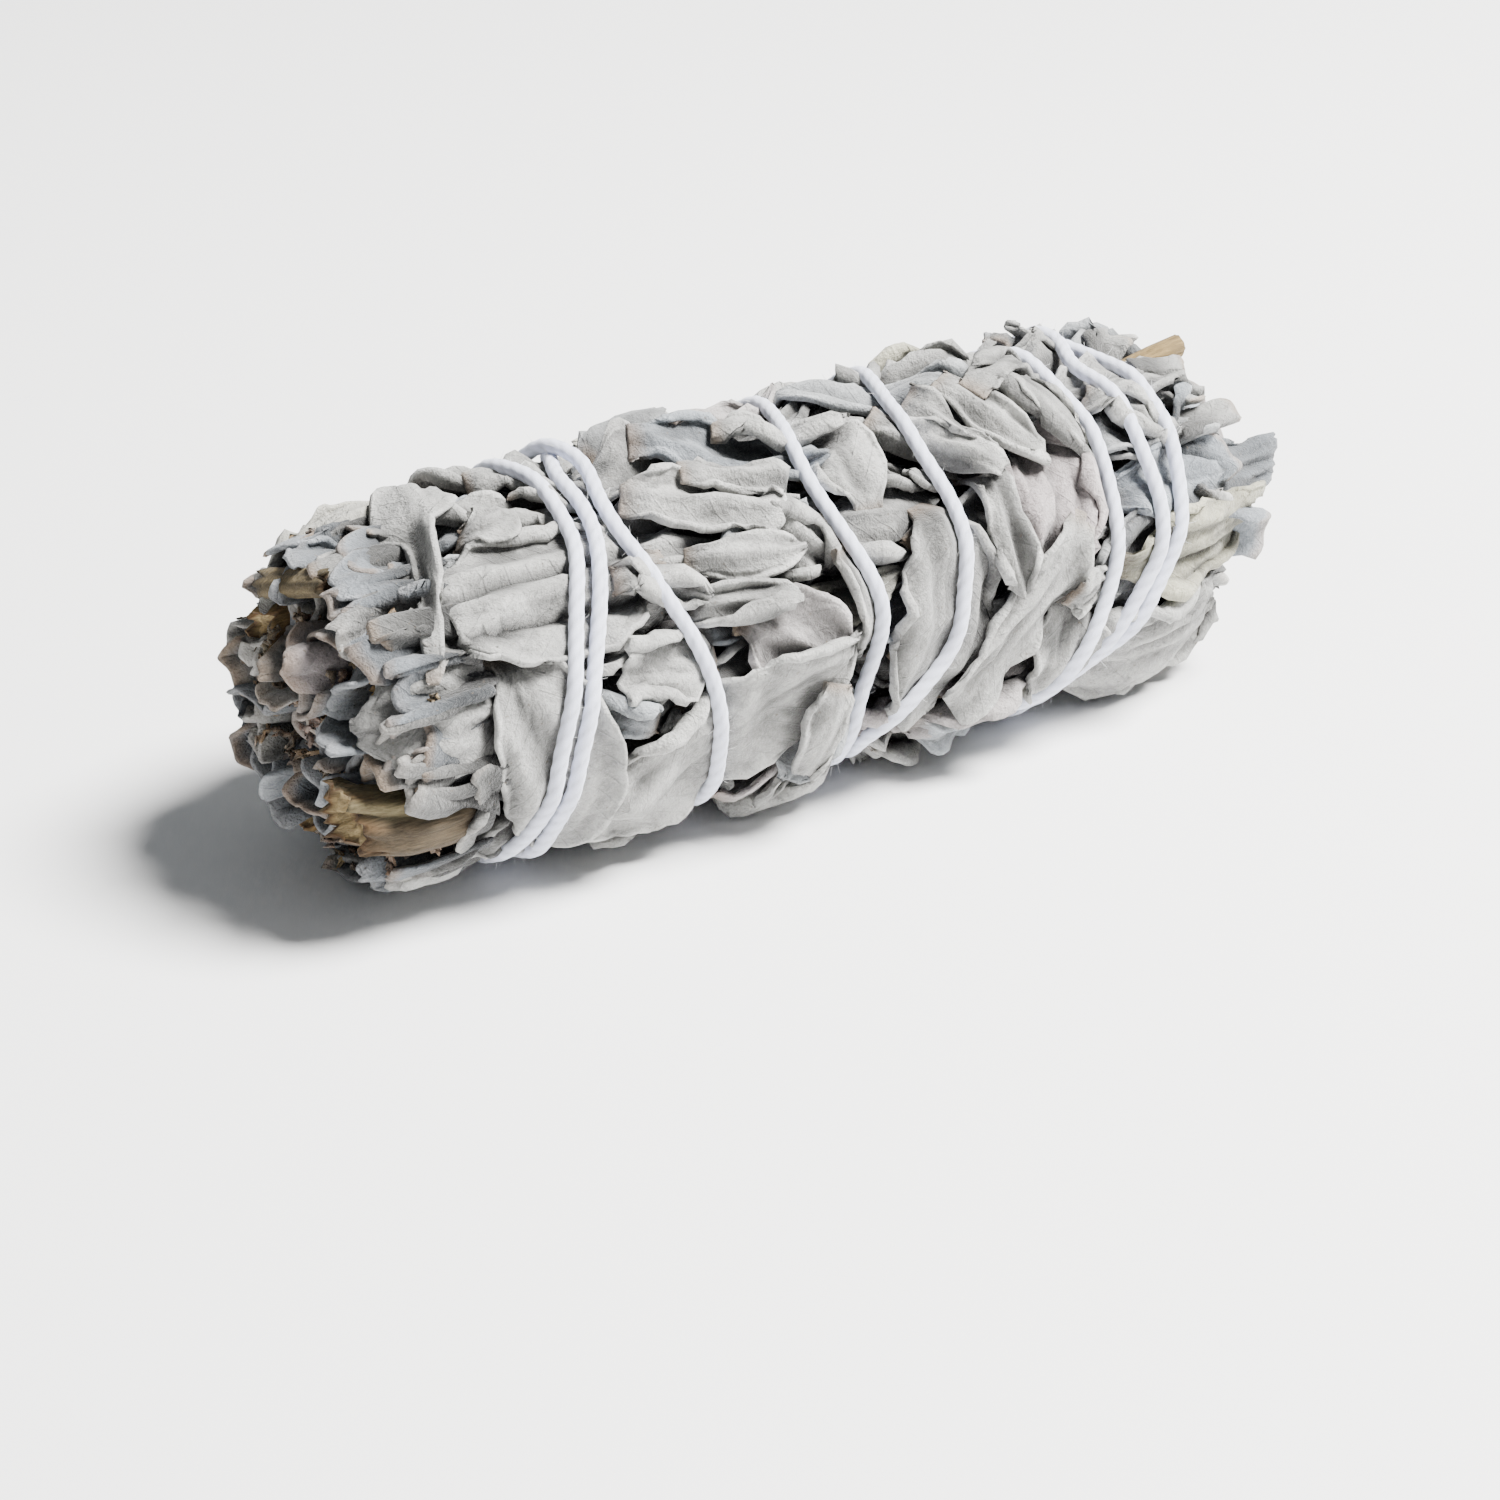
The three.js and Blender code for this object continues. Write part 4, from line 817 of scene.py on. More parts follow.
def leaf_relief(leaf, share, part, side, dice):
    """Keel, lengthwise pleats, waved edges and wrinkles."""
    along = share[:, None] * leaf["length"]
    body = smooth(0.03, 0.2, share)[:, None]
    keel = leaf["keel"] * np.maximum(0, 1 - np.abs(part)) ** 1.3
    place = dice.draw(-0.5, 0.5) + 0.25 * np.sin(along / 9 + dice.draw(0, 6))
    pleat = leaf["pleat"] * smooth(-0.1, 0.1, part - place)
    edge = leaf["wave"] * np.abs(part) ** 2.5 * (0.45 + waves(along, 7 * np.sign(part), dice, 3, 8))
    wrinkles = 0.16 * waves(along * 0.45, side * 1.4, dice, 5, 3.2) + 0.05 * waves(along, side, dice, 5, 1.3)
    midrib = -0.25 * np.exp(-((side / 0.45) ** 2))
    tip = leaf["tip_curl"] * smooth(0.72, 1, share[:, None]) ** 2
    flat = keel + pleat + edge + wrinkles + midrib * min(1, leaf["width"] / 8)
    return body * (flat + creases(leaf, along, side, dice)) + tip


def creases(leaf, along, side, dice):
    """Sharp lengthwise folds of a dried leaf, that wander, lean to one side and fade out."""
    total = 0
    for place, height in leaf.get("folds", ()):
        away = side - place - 0.05 * (along - leaf["length"] / 2) - 0.3 * np.sin(along / 3)
        total = total + height * np.maximum(0, 1 - np.where(away > 0, away / 0.6, -away / 3.4))
        total = total - 0.9 * np.exp(-(((away - 1.1) / 0.7) ** 2))
    for _ in range(leaf["creases"]):
        at = dice.draw(-0.75, 0.75) * leaf["width"] / 2
        at = at + dice.draw(-0.16, 0.16) * (along - leaf["length"] / 2)
        at = at + 0.35 * np.sin(along / dice.draw(2, 5) + dice.draw(0, 6))
        steep, gentle = dice.draw(0.5, 0.9), dice.draw(1.4, 3.2)
        away = (side - at) * dice.sign()
        fold = np.maximum(0, 1 - np.where(away > 0, away / steep, -away / gentle))
        middle, half = dice.draw(0.3, 0.8) * leaf["length"], dice.draw(0.25, 0.6) * leaf["length"]
        fade = 1 - smooth(0.5, 1, np.abs(along - middle) / half)
        total = total + leaf["crumple"] * dice.draw(0.5, 1.1) * fold * fade
    return total


def dressed(leaf, dice):
    """Adds what only the fine leaf has: rolls, folds, ragged edges and its colour."""
    wide = leaf["width"] > WIDE_LEAF
    rolls = []
    for curl in leaf.get("curl", (0.25, 0.25)):
        lightly = dice.draw(0.2, 1.2) + 1.3 * curl
        rolls.append(dice.draw(2.0, 3.8) if dice.draw(0, 1) < 0.26 + 0.2 * curl else lightly)
    kind = dice.draw(0, 1)
    tint = GREY if kind < 0.55 else BLUE if kind < 0.8 else PINK if kind < 0.9 else YELLOW
    light = dice.draw(0.74, 1.14)
    fine = {
        "roll": tuple(rolls), "roll_radius": dice.draw(0.4, 0.85),
        "keel": dice.draw(-0.6, 1.3), "pleat": dice.draw(-1.0, 1.0) if wide else 0,
        "wave": dice.draw(0.5, 1.7), "ragged": 0.05, "ragged_tip": 0.12 + 0.25 * leaf["blunt"],
        "creases": int(dice.draw(3, 7)) if wide else 2, "crumple": dice.draw(0.6, 1.5),
        "tip_curl": dice.draw(0, 1.3),
        "tint": mix(GREY, tint, dice.draw(0.35, 1)) * light,
        "thickness": dice.draw(0.55, 0.8),
    }
    return {**fine, **leaf}


class Drape:
    """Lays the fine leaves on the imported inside, one on another."""

    def __init__(self, dice):
        self.dice = dice
        self.height = core_radius(FINE.x, FINE.angle)
        FINE.add_stems(self.height, np.zeros_like(self.height))

    def lay(self, leaf):
        lattice = leaf_lattice(leaf, self.dice)
        x, angle, lift = lattice["x"], lattice["angle"], lattice["lift"]
        floor = FINE.highest(self.height, x, angle, 0.35) + DRAPE_GAP - lift
        radius = floor
        for _ in range(EASING_ROUNDS):
            eased = radius.copy()
            eased[1:-1] = 0.5 * (radius[:-2] + radius[2:])
            eased[:, 1:-1] = 0.5 * eased[:, 1:-1] + 0.25 * (radius[:, :-2] + radius[:, 2:])
            radius = np.maximum(floor, eased)
        sunk = ROOT_SUNK if leaf.get("stalk") is None else STALK_SUNK
        sunk = sunk * (1 - smooth(0, 0.12, lattice["share"]))
        lattice["radius"] = radius + lift - sunk
        self.mark(lattice, leaf["thickness"])
        return {"leaf": leaf, **lattice}

    def mark(self, lattice, thickness):
        x, angle, radius = dense_places(lattice)
        np.maximum.at(self.height, FINE.cells(x, angle), radius + thickness)

    def room(self, x, angle):
        return bundle_radius(x) - FINE.highest(self.height, np.asarray(x), np.asarray(angle), 1)


def densified(field, times):
    for axis in (0, 1):
        count = field.shape[axis]
        at = np.linspace(0, count - 1, (count - 1) * times + 1)
        low = np.minimum(at.astype(int), count - 2)
        part = at - low
        part = part[:, None] if axis == 0 else part[None]
        field = np.take(field, low, axis) * (1 - part) + np.take(field, low + 1, axis) * part
    return field


def dense_places(lattice):
    return (densified(lattice[key], 3) for key in ("x", "angle", "radius"))


def core_radius(x, angle):
    """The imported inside: lengthwise folds of the leaves that lie deeper."""
    folds = np.abs(np.sin(angle * DEGREE * 9 + 0.8 * np.sin(x / 6) + 1.5 * np.sin(x / 19)))
    shreds = np.sin(x / 2.3 + 5 * np.sin(angle * DEGREE * 4))
    return packed_radius(x, angle) - 0.9 * folds + 0.18 * shreds


def sprig_at(root, owner):
    """The sprig under a small leaf's root, else the one whose sector is nearest."""
    sprig = int(owner[COARSE.cells(*root)])
    if sprig >= 0:
        return sprig
    return int(np.argmin([abs(turn_between(outer["angle"], root[1])) for outer in SPRIGS[:OUTER_SPRIGS]]))


def bares_stems(spec, x, tip, middle):
    """Whether a small leaf from x to a tip leaves the stems that show, and for some the cut end, in view."""
    if not -SMALL_TIP_X < tip[0] < SMALL_TIP_X:
        return False
    low, high = THICK_STEM_ANGLES
    if middle[0] < THICK_STEM_X and low < turn_between(0, middle[1]) < high:
        return False
    if spec.get("behind") and min(x, tip[0]) < CUT_END_X:
        return False
    far_angle = SPRIGS[TOP_STEM]["far"][2]
    return max(x, tip[0]) <= FAR_STEM_X or abs(turn_between(far_angle, middle[1])) >= FAR_STEM_SIDE


def small_leaf(spec, drape, dice, owner):
    """A torn leaf or a rolled strip, put where the bundle is thinnest of a few places tried."""
    best, most = None, -math.inf
    for tried in range(MOST_DRAWS):
        if best is not None and tried >= SMALL_PLACES_TRIED:
            break
        x, angle = dice.draw(*SMALL_ROOT_X), dice.draw(0, 360)
        heading = dice.draw(-SMALL_SPREAD, SMALL_SPREAD) * DEGREE
        heading += math.pi if dice.draw(0, 1) < TURNED_BACK else 0
        length = dice.draw(*spec["length"])
        tip = tip_from((x, angle), length, heading)
        middle = ((x + tip[0]) / 2, (angle + tip[1]) / 2)
        if not bares_stems(spec, x, tip, middle):
            continue
        room = float(drape.room(*middle))
        if room > most:
            best, most = {"root": (x, angle), "tip": tip, "length": length}, room
    leaf = {**best, "width": dice.draw(*spec["width"]), "bend": dice.draw(-1.5, 1.5)}
    leaf["phase"] = dice.draw(0, 6)
    leaf["blunt"] = dice.draw(0.2, 1)
    leaf["curl"] = (dice.draw(0, 0.8), dice.draw(0, 0.8))
    return dressed({**leaf, "sprig": sprig_at(best["root"], owner)}, dice)


def scrap(leaf, dice):
    return {**leaf, "ragged": 0.12, "ragged_tip": 0.4, "wave": dice.draw(0.3, 0.8), "stalk": 0}


def strip(leaf, dice):
    turn = dice.draw(1.6, 3.6)
    return {**leaf, "roll": (turn, turn * dice.draw(0.3, 1)), "roll_radius": 0.8, "keel": 0.4, "pleat": 0}


def sliver(leaf, dice):
    return {**leaf, "blunt": dice.draw(0, 0.4), "keel": dice.draw(0.7, 1.7), "creases": 3, "stalk": 0}


def seen_strip(root, tip, width, dice, owner):
    """A narrow leaf seen in one place, folded along its midrib, with its rims rolled."""
    leaf = {"root": root, "tip": tip, "width": width, "sprig": sprig_at(root, owner), "stalk": 0}
    leaf = {**leaf, "length": math.hypot(*leaf_run(leaf)), "phase": 0, "curl": (0.5, 0.5)}
    leaf = dressed({**leaf, "blunt": dice.draw(0.1, 0.7), "bend": dice.draw(-0.8, 0.8)}, dice)
    leaf = {**leaf, "keel": dice.draw(0.6, 1.4), "pleat": 0, "roll_radius": 0.6}
    return {**leaf, "tint": GREY * dice.draw(0.85, 1.15)}


# The bound bundle: pressed round by hand, flat where it lies, and pulled in by the string
class Bound:
    def __init__(self, height):
        over = np.clip(height - bundle_radius(FINE.x), -PRESS_LIMIT, MOST_PRESSED)
        ends = (NEAR_END_X + PRESSED_ENDS, FAR_END_X - PRESSED_ENDS)
        low, high = (int((x - GRID_START) / FINE_STEP) for x in ends)
        self.pressed = FINE.blurred(over, 6, 3, low, high)
        self.pinched = pinch(FINE.x, FINE.angle)
        turn = turn_between(SOLE_ANGLE, FINE.angle)
        reach = SOLE_DISTANCE / np.maximum(0.8, np.cos(turn * DEGREE))
        below = np.maximum(0, height - self.pressed - self.pinched - reach)
        flat = np.where(np.abs(turn) < SOLE_REACH, below, 0)
        self.pressed = self.pressed + FINE.blurred(flat, 2, 1)
        self.squeeze = None

    def radius(self, x, angle, radius):
        held = np.clip((radius - MIDDLE_RADIUS) / HOLD_GROWTH, 0, 1)
        bound = radius - (FINE.sample(self.pinched, x, angle) + FINE.sample(self.pressed, x, angle)) * held
        past = np.maximum(0, NEAR_END_X + ROUNDED_FROM - x)
        bound = bound - END_ROUNDING * past * past * held
        if self.squeeze is not None:
            over = np.maximum(0, bound - CORE_HELD)
            bound = bound - over * (1 - FINE.sample(self.squeeze, x, angle))
        proud = np.maximum(0, bound - bundle_radius(x) - FREE_RISE)
        return bound - proud * (1 - RISE_KEPT)

    def place(self, x, angle, radius):
        return spot(x, angle, self.radius(x, angle, radius))

    def measure(self, laid):
        self.top = self.radius(FINE.x, FINE.angle, core_radius(FINE.x, FINE.angle))
        for item in laid:
            x, angle, radius = dense_places(item)
            level = self.radius(x, angle, radius + item["leaf"]["thickness"])
            np.maximum.at(self.top, FINE.cells(x, angle), level)

    def tighten(self, path, radii):
        """Squeezes the leaves under the string so that it lies in them."""
        distance, index = nearest_route(FINE.x, FINE.angle, path)
        under = radii[index] - STRING_DIAMETER / 2 + SQUEEZE_SLOPE * np.maximum(0, distance - 0.6)
        squeeze = np.clip((under - CORE_HELD) / np.maximum(1, self.top - CORE_HELD), LEAST_KEPT, 1)
        self.squeeze = np.where(distance < SQUEEZE_REACH, squeeze, 1)


def taut_radii(bound, path):
    """The string's distance from the axis along its path: pulled straight wherever the leaves allow it."""
    around = [(dx, dy) for dx in (-0.8, 0, 0.8) for dy in (-0.8, 0, 0.8)]
    tops = [bound.top[FINE.cells(path[:, 0] + dx, path[:, 1] + dy / MM_PER_DEGREE)] for dx, dy in around]
    tops = np.mean(tops, 0)
    weights = np.hanning(2 * STRING_EASE + 3)
    eased = np.convolve(np.pad(tops, STRING_EASE, "edge"), weights[1:-1], "valid") / weights.sum()
    floor = np.minimum(tops, eased + 0.5) + STRING_DIAMETER / 2 - STRING_SUNK
    radii = [BUNDLE_RADIUS + STRING_SLACK] * len(path)
    shorter = math.cos(ROUTE_STEP * DEGREE)
    for _ in range(TAUT_ROUNDS):
        for i in range(1, len(radii) - 1):
            radii[i] = max(floor[i], 2 * shorter / (1 / radii[i - 1] + 1 / radii[i + 1]))
        radii[0], radii[-1] = max(floor[0], radii[1]), max(floor[-1], radii[-2])
    return np.array(radii)


def crossing_lift(path):
    """How far each point of the string is lifted over an earlier pass."""
    lifts = np.zeros(len(path))
    for i, (x, angle) in enumerate(path):
        if i > SAME_PASS:
            before = path[:i - SAME_PASS]
            apart = np.hypot(before[:, 0] - x, turn_between(before[:, 1], angle) * MM_PER_DEGREE)
            lifts[i] = CROSSING_REACH * (apart.min() < CROSSING_REACH)
    eased = lifts.copy()
    for i in range(len(path)):
        near = np.arange(max(0, i - STRING_EASE + 1), min(len(path), i + STRING_EASE))
        eased[i] = (lifts[near] * (1 - (np.abs(near - i) / STRING_EASE) ** 2)).max()
    return eased


# Meshes
def turns_round(sides):
    return np.arange(sides) / sides * 2 * math.pi


def grid_faces(rows, columns, offset=0):
    index = offset + np.arange(rows * columns).reshape(rows, columns)
    return np.stack([index[:-1, :-1], index[:-1, 1:], index[1:, 1:], index[1:, :-1]], -1).reshape(-1, 4)


def tube_faces(rings, sides):
    index = np.arange(rings * sides).reshape(rings, sides)
    after = np.roll(index, -1, 1)
    return np.stack([index[:-1], after[:-1], after[1:], index[1:]], -1).reshape(-1, 4)


def capped_tube(rings, sides):
    """Faces of a tube of rings with a face over each end."""
    ring = np.arange(sides)[None]
    return [tube_faces(rings, sides), ring[:, ::-1], (rings - 1) * sides + ring]


def lattice_normals(points):
    along = np.gradient(points, axis=0)
    across = np.gradient(points, axis=1)
    normal = np.cross(along, across)
    return normal / np.maximum(1e-9, np.linalg.norm(normal, axis=-1, keepdims=True))


def felt_sheet(top, outward, thickness):
    """A closed sheet with rounded rims under a lattice of points. Gives its vertices and faces."""
    rows, columns = top.shape[:2]
    normal = lattice_normals(top)
    if (normal * outward).sum() < 0:
        normal = -normal
    rim = np.zeros((rows, columns))
    rim[0] = rim[-1] = rim[:, 0] = rim[:, -1] = 1
    thick = thickness * (1 - 0.3 * rim)
    under = top - normal * thick[..., None]
    loop = [(0, j) for j in range(columns)] + [(i, columns - 1) for i in range(1, rows)]
    loop += [(rows - 1, j) for j in range(columns - 2, -1, -1)] + [(i, 0) for i in range(rows - 2, 0, -1)]
    loop = np.array(loop)
    inner = np.stack([np.clip(loop[:, 0], 1, rows - 2), np.clip(loop[:, 1], 1, columns - 2)], 1)
    edge, inside = top[loop[:, 0], loop[:, 1]], top[inner[:, 0], inner[:, 1]]
    out = edge - inside
    out = out / np.maximum(1e-9, np.linalg.norm(out, axis=1, keepdims=True))
    middle = (edge + under[loop[:, 0], loop[:, 1]]) / 2 + out * thickness * 0.4
    count = rows * columns
    over_loop = loop[:, 0] * columns + loop[:, 1]
    middle_loop = 2 * count + np.arange(len(loop))
    faces = [grid_faces(rows, columns), grid_faces(rows, columns, count)[:, ::-1]]
    for first, second in ((over_loop, middle_loop), (middle_loop, over_loop + count)):
        faces.append(np.stack([first, second, np.roll(second, -1), np.roll(first, -1)], 1))
    faces = np.concatenate(faces)
    points = np.concatenate([top.reshape(-1, 3), under.reshape(-1, 3), middle])
    a, b, c = (top[0, 0], top[1, 0], top[0, 1])
    if np.dot(np.cross(c - a, b - a), normal[0, 0]) < 0:
        faces = faces[:, ::-1]
    return points, faces, over_loop


def sheet_values(values, over_loop):
    flat = values.reshape(-1, values.shape[-1])
    return np.concatenate([flat, flat, flat[over_loop]])


class Piece:
    """Collects closed sheets and solids, then becomes one object."""

    def __init__(self):
        self.points, self.faces, self.tints, self.places, self.count = [], [], [], [], 0

    def add(self, points, faces, tints, places):
        self.points.append(points)
        self.faces += [part + self.count for part in faces]
        self.tints.append(tints)
        self.places.append(places)
        self.count += len(points)

    def add_sheet(self, top, outward, thickness, tints, places):
        points, faces, loop = felt_sheet(top, outward, thickness)
        self.add(points, [faces], sheet_values(tints, loop), sheet_values(places, loop))

    def add_tube(self, rings, tints):
        count, sides = len(rings), len(rings[0])
        places = np.stack([np.repeat(np.arange(count), sides), np.tile(turns_round(sides), count)], 1)
        faces = capped_tube(count, sides)
        self.add(np.concatenate(rings), faces, np.concatenate(tints), places * PLACE_SCALE)

    def build(self, name, material, origin):
        points = (np.concatenate(self.points) + origin) * MM
        points[:, 2] = np.maximum(points[:, 2], FLOOR_GAP * MM)
        mesh = bpy.data.meshes.new(name)
        mesh.from_pydata(points.tolist(), [], [face for part in self.faces for face in part.tolist()])
        tint = mesh.attributes.new("tint", "FLOAT_COLOR", "POINT")
        colours = np.concatenate(self.tints)
        tint.data.foreach_set("color", np.concatenate([colours, np.ones((len(colours), 1))], 1).ravel())
        layer = mesh.uv_layers.new(name="UVMap")
        corners = np.empty(len(mesh.loops), int)
        mesh.loops.foreach_get("vertex_index", corners)
        layer.data.foreach_set("uv", np.concatenate(self.places)[corners].ravel())
        mesh.polygons.foreach_set("use_smooth", np.ones(len(mesh.polygons), bool))
        mesh.materials.append(material)
        piece = bpy.data.objects.new(name, mesh)
        bpy.context.scene.collection.objects.link(piece)
        return piece


def averaged(field, reach):
    """The mean of each place of a lattice and those up to a reach away."""
    padded = np.pad(field, reach, "edge")
    rows, columns = field.shape
    steps = range(2 * reach + 1)
    return sum(padded[i:i + rows, j:j + columns] for i in steps for j in steps) / (2 * reach + 1) ** 2


def leaf_tints(item, bound_radius, cover):
    """Colour over a leaf: lighter rims, the felt's paler edge and a painted highlight, a browner root, and
    painted shade in hollows, deep down and under others, with a painted highlight on ridges.
    """
    leaf, part, share = item["leaf"], item["part"], item["share"]
    # Lighter rims: the felt's paler edge and a painted highlight
    rim = smooth(0.8, 1.0, np.abs(part)) + smooth(0.95, 1, share) * 0.6
    tint = np.asarray(leaf["tint"]) * (0.97 + 0.17 * np.clip(rim, 0, 1))[..., None]
    # Painted shade deep down and in the leaf's own hollows, and a painted highlight on its ridges
    depth = np.clip((bundle_radius(item["x"]) - bound_radius) / DEEP_AT, 0, 1)
    hollow = averaged(item["lift"], 2) - item["lift"]
    tint = tint * ((1 - DEEP_SHADE * depth) * (1 - HOLLOW_SHADE * np.clip(hollow, -0.16, 0.6)))[..., None]
    # Painted shadow under the edges of the leaves that lie over it
    tint = tint * (1 - COVER_SHADE * smooth(*COVER_DEPTHS, cover))[..., None]
    brown = 0.5 * (1 - smooth(0, 0.1, share))
    return mix(tint, BROWN * 1.6, brown[..., None])


# Ends of the bundle: folded and torn leaf ends packed round each stem
def end_rise(side, distance):
    """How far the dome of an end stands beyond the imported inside, at a distance from the axis."""
    return (NEAR_DOME if side < 0 else FAR_DOME) * (1 - (np.minimum(distance, 17) / 18.5) ** 2.6)


def end_of(side):
    return NEAR_END_X if side < 0 else FAR_END_X


def folded_rim(place, heading, length, bend, folds, dice):
    """A line across the end, bent evenly and folded sharply: a leaf's end seen from its tip."""
    steps = np.arange(END_STEPS)
    turn = heading + bend * (steps / (END_STEPS - 1) - 0.5)
    for _ in range(folds):
        at = dice.draw(3, END_STEPS - 4)
        sharp = dice.draw(0.8, 2.1) * dice.sign()
        turn = turn + sharp * smooth(-0.9, 0.9, steps - at)
    line = np.cumsum(np.stack([np.cos(turn), np.sin(turn)], 1), 0) * length / (END_STEPS - 1)
    return place + line - line.mean(0)


def clear_of_stems(points):
    """Moves points that lie in a stem out to its bark."""
    for sprig in SPRIGS:
        centre = stem_point(sprig, points[..., 0]) * [0, 1, 1]
        away = points * [0, 1, 1] - centre
        distance = np.linalg.norm(away, axis=-1, keepdims=True)
        reaches = (points[..., :1] > sprig["near"][0] - 1) & (points[..., :1] < sprig["far"][0] + 1)
        wanted = np.where(reaches, np.maximum(distance, sprig["radius"] + STEM_CLEARANCE), distance)
        points = points + away * (wanted / np.maximum(distance, 0.01) - 1)
    return points


def end_leaf(sprig, side, spec, dice):
    """One leaf's end that stands out of the bundle. Gives its points, and shares up it and along its rim."""
    rim = folded_rim(spec["place"], spec["heading"], spec["length"], spec["bend"], spec["folds"], dice)
    share = np.linspace(0, 1, END_ROWS)[:, None]
    along = np.linspace(-0.5, 0.5, END_STEPS)
    ragged = 0.28 * waves(along * spec["length"], 0, dice, 4, 3.4) + spec["tilt"] * along
    ragged = ragged - spec["round"] * (2 * along) ** 4
    end_x = end_of(side)
    height = end_rise(side, np.hypot(*spec["place"])) + spec["stand"] + ragged
    x = end_x + side * (share * (height + spec["depth"]) - spec["depth"])
    inward = stem_point(sprig, end_x)[1:] - spec["place"]
    inward = inward / max(0.5, np.hypot(*inward))
    lean = spec["lean"] * (1 - share) ** 1.4 - spec["flare"] * share**3
    waviness = 0.22 * waves(share * 9, along * spec["length"], dice, 4, 3)
    y = rim[:, 0] + (lean + waviness) * inward[0]
    z = rim[:, 1] + (lean + waviness) * inward[1]
    points = clear_of_stems(np.stack([x, y, z], -1))
    angle, distance = polar(points)
    past = np.maximum(0, side * (points[..., 0] - end_x))
    most = bundle_radius(points[..., 0]) - 1.0 - END_ROUNDING * past * past
    distance = np.minimum(distance, most + 0.4 * np.tanh(distance - most))
    points = spot(points[..., 0], angle, distance)
    points[..., 2] = np.maximum(points[..., 2], 0.4 - SOLE_DISTANCE)
    return points, share + 0 * x, along + 0 * x


def from_stems(place):
    """The distance from a place to the nearest stem's bark, as the stems stand at the cut end."""
    return min(
        np.hypot(*(place - stem_point(sprig, NEAR_END_X - 1)[1:])) - sprig["radius"] for sprig in SPRIGS)


def end_leaf_specs(sprig, side, count, dice):
    centre = stem_point(sprig, end_of(side))[1:]
    for i in range(count):
        turn = (i * GOLDEN_ANGLE + dice.draw(-25, 25)) * DEGREE
        ring = sprig["radius"] + 1.3 + 4.4 * math.sqrt((i + 0.5) / count) * dice.draw(0.8, 1.05)
        place = centre + ring * np.array([math.cos(turn), math.sin(turn)])
        away = np.hypot(*place)
        if away > END_REACH:
            place = place * END_REACH / away
        over_far_stem = side > 0 and place[1] > 11.5 and abs(place[0]) < 5
        if over_far_stem or from_stems(place) < 0.6:
            continue
        over_thick_stem = side < 0 and place[0] < -12.5 and -11.5 < place[1] < -1
        stand = dice.draw(-5, 0.5) if dice.draw(0, 1) < 0.72 else dice.draw(0.5, 2.2)
        yield {
            "place": place, "heading": turn + math.pi / 2 + dice.draw(-0.7, 0.7),
            "length": dice.draw(5, 10.5), "bend": dice.draw(-2.4, 2.4),
            "folds": int(dice.draw(0, 2.99)) if side < 0 else 0,
            "tilt": dice.draw(-3, 3), "stand": stand - (6 if over_thick_stem else 0), "depth": 5.0,
            "round": dice.draw(0.4, 2.4), "lean": dice.draw(1, 4), "flare": dice.draw(-0.3, 1.2),
        }


def end_tints(side, share, dice):
    """Colour over a leaf's end: brown on some rims, a painted highlight on the rim, painted shade where it
    goes down between the others, and at the cut end painted shade over all of it.
    """
    hue = dice.draw(0, 1)
    tint = BLUE if hue < 0.5 else GREY if hue < 0.97 else PINK
    # Painted shade over the whole leaf end at the cut end, which faces away from the key light; at the far
    # end this only varies the tone
    tint = tint * (dice.draw(0.36, 0.76) if side < 0 else dice.draw(0.75, 1.05))
    # The rim gets a painted highlight, and brown on some leaf ends
    rim = smooth(0.88, 1, share)
    brown = rim * (dice.draw(0.7, 1) if dice.draw(0, 1) < 0.4 else 0.2)
    # Painted shade: darker where the leaf end goes down between the others
    gap_shade = 0.15 + 0.85 * smooth(0.35, 1, share) if side < 0 else 0.22 + 0.78 * smooth(0.25, 0.95, share)
    return mix(tint * (gap_shade * (1 + 0.55 * rim))[..., None], BROWN * 1.5, brown[..., None] * 0.75)


def end_leaves(piece, index, side, dice):
    sprig = SPRIGS[index]
    count = (NEAR_ENDS if index < OUTER_SPRIGS else MIDDLE_ENDS) if side < 0 else FAR_ENDS
    specs = list(end_leaf_specs(sprig, side, count, dice))
    if side < 0:
        specs += [seen_end(spec) for spec in SEEN_ENDS if spec["sprig"] == index]
    for spec in specs:
        top, share, along = end_leaf(sprig, side, spec, dice)
        colour = end_tints(side, share, dice)
        outward = (top - stem_point(sprig, np.full_like(top[..., 0], NEAR_END_X))) * [0, 1, 1]
        places = np.stack([share * 0.1, along * spec["length"] * PLACE_SCALE], -1)
        piece.add_sheet(top, outward, dice.draw(*END_THICKNESS), colour, places)


def seen_end(spec):
    """A leaf end that is seen in one place, with what it doesn't give left plain."""
    angle, radius = spec["at"]
    place = radius * np.array([-math.cos(angle * DEGREE), math.sin(angle * DEGREE)])
    plain = {"bend": 0, "folds": 0, "tilt": 0, "stand": 0, "depth": 6, "round": 0.5, "lean": 1, "flare": 0}
    return {**plain, **spec, "place": place}


def crumbs(piece, index, dice):
    """Brown chips of stalk and leaf caught in the cut end, thickest in one spot on each sprig."""
    sprig = SPRIGS[index]
    centre = stem_point(sprig, NEAR_END_X - 1)
    for i in range(CRUMBLED_CHIPS if index in CRUMBLED_SPRIGS else CHIPS):
        turn, away = dice.draw(0, 360) * DEGREE, sprig["radius"] + dice.draw(0.4, 4.2)
        if i < GATHERED_CHIPS:
            turn, away = (index * 2.1 + dice.draw(-0.3, 0.3)), sprig["radius"] + dice.draw(1.2, 3.0)
        y, z = centre[1] + away * math.cos(turn), centre[2] + away * math.sin(turn)
        out = math.hypot(y, z)
        if out <= CHIP_REACH:
            add_chip(piece, [NEAR_END_X - end_rise(-1, out) + dice.draw(0, 3.2), y, z], dice)


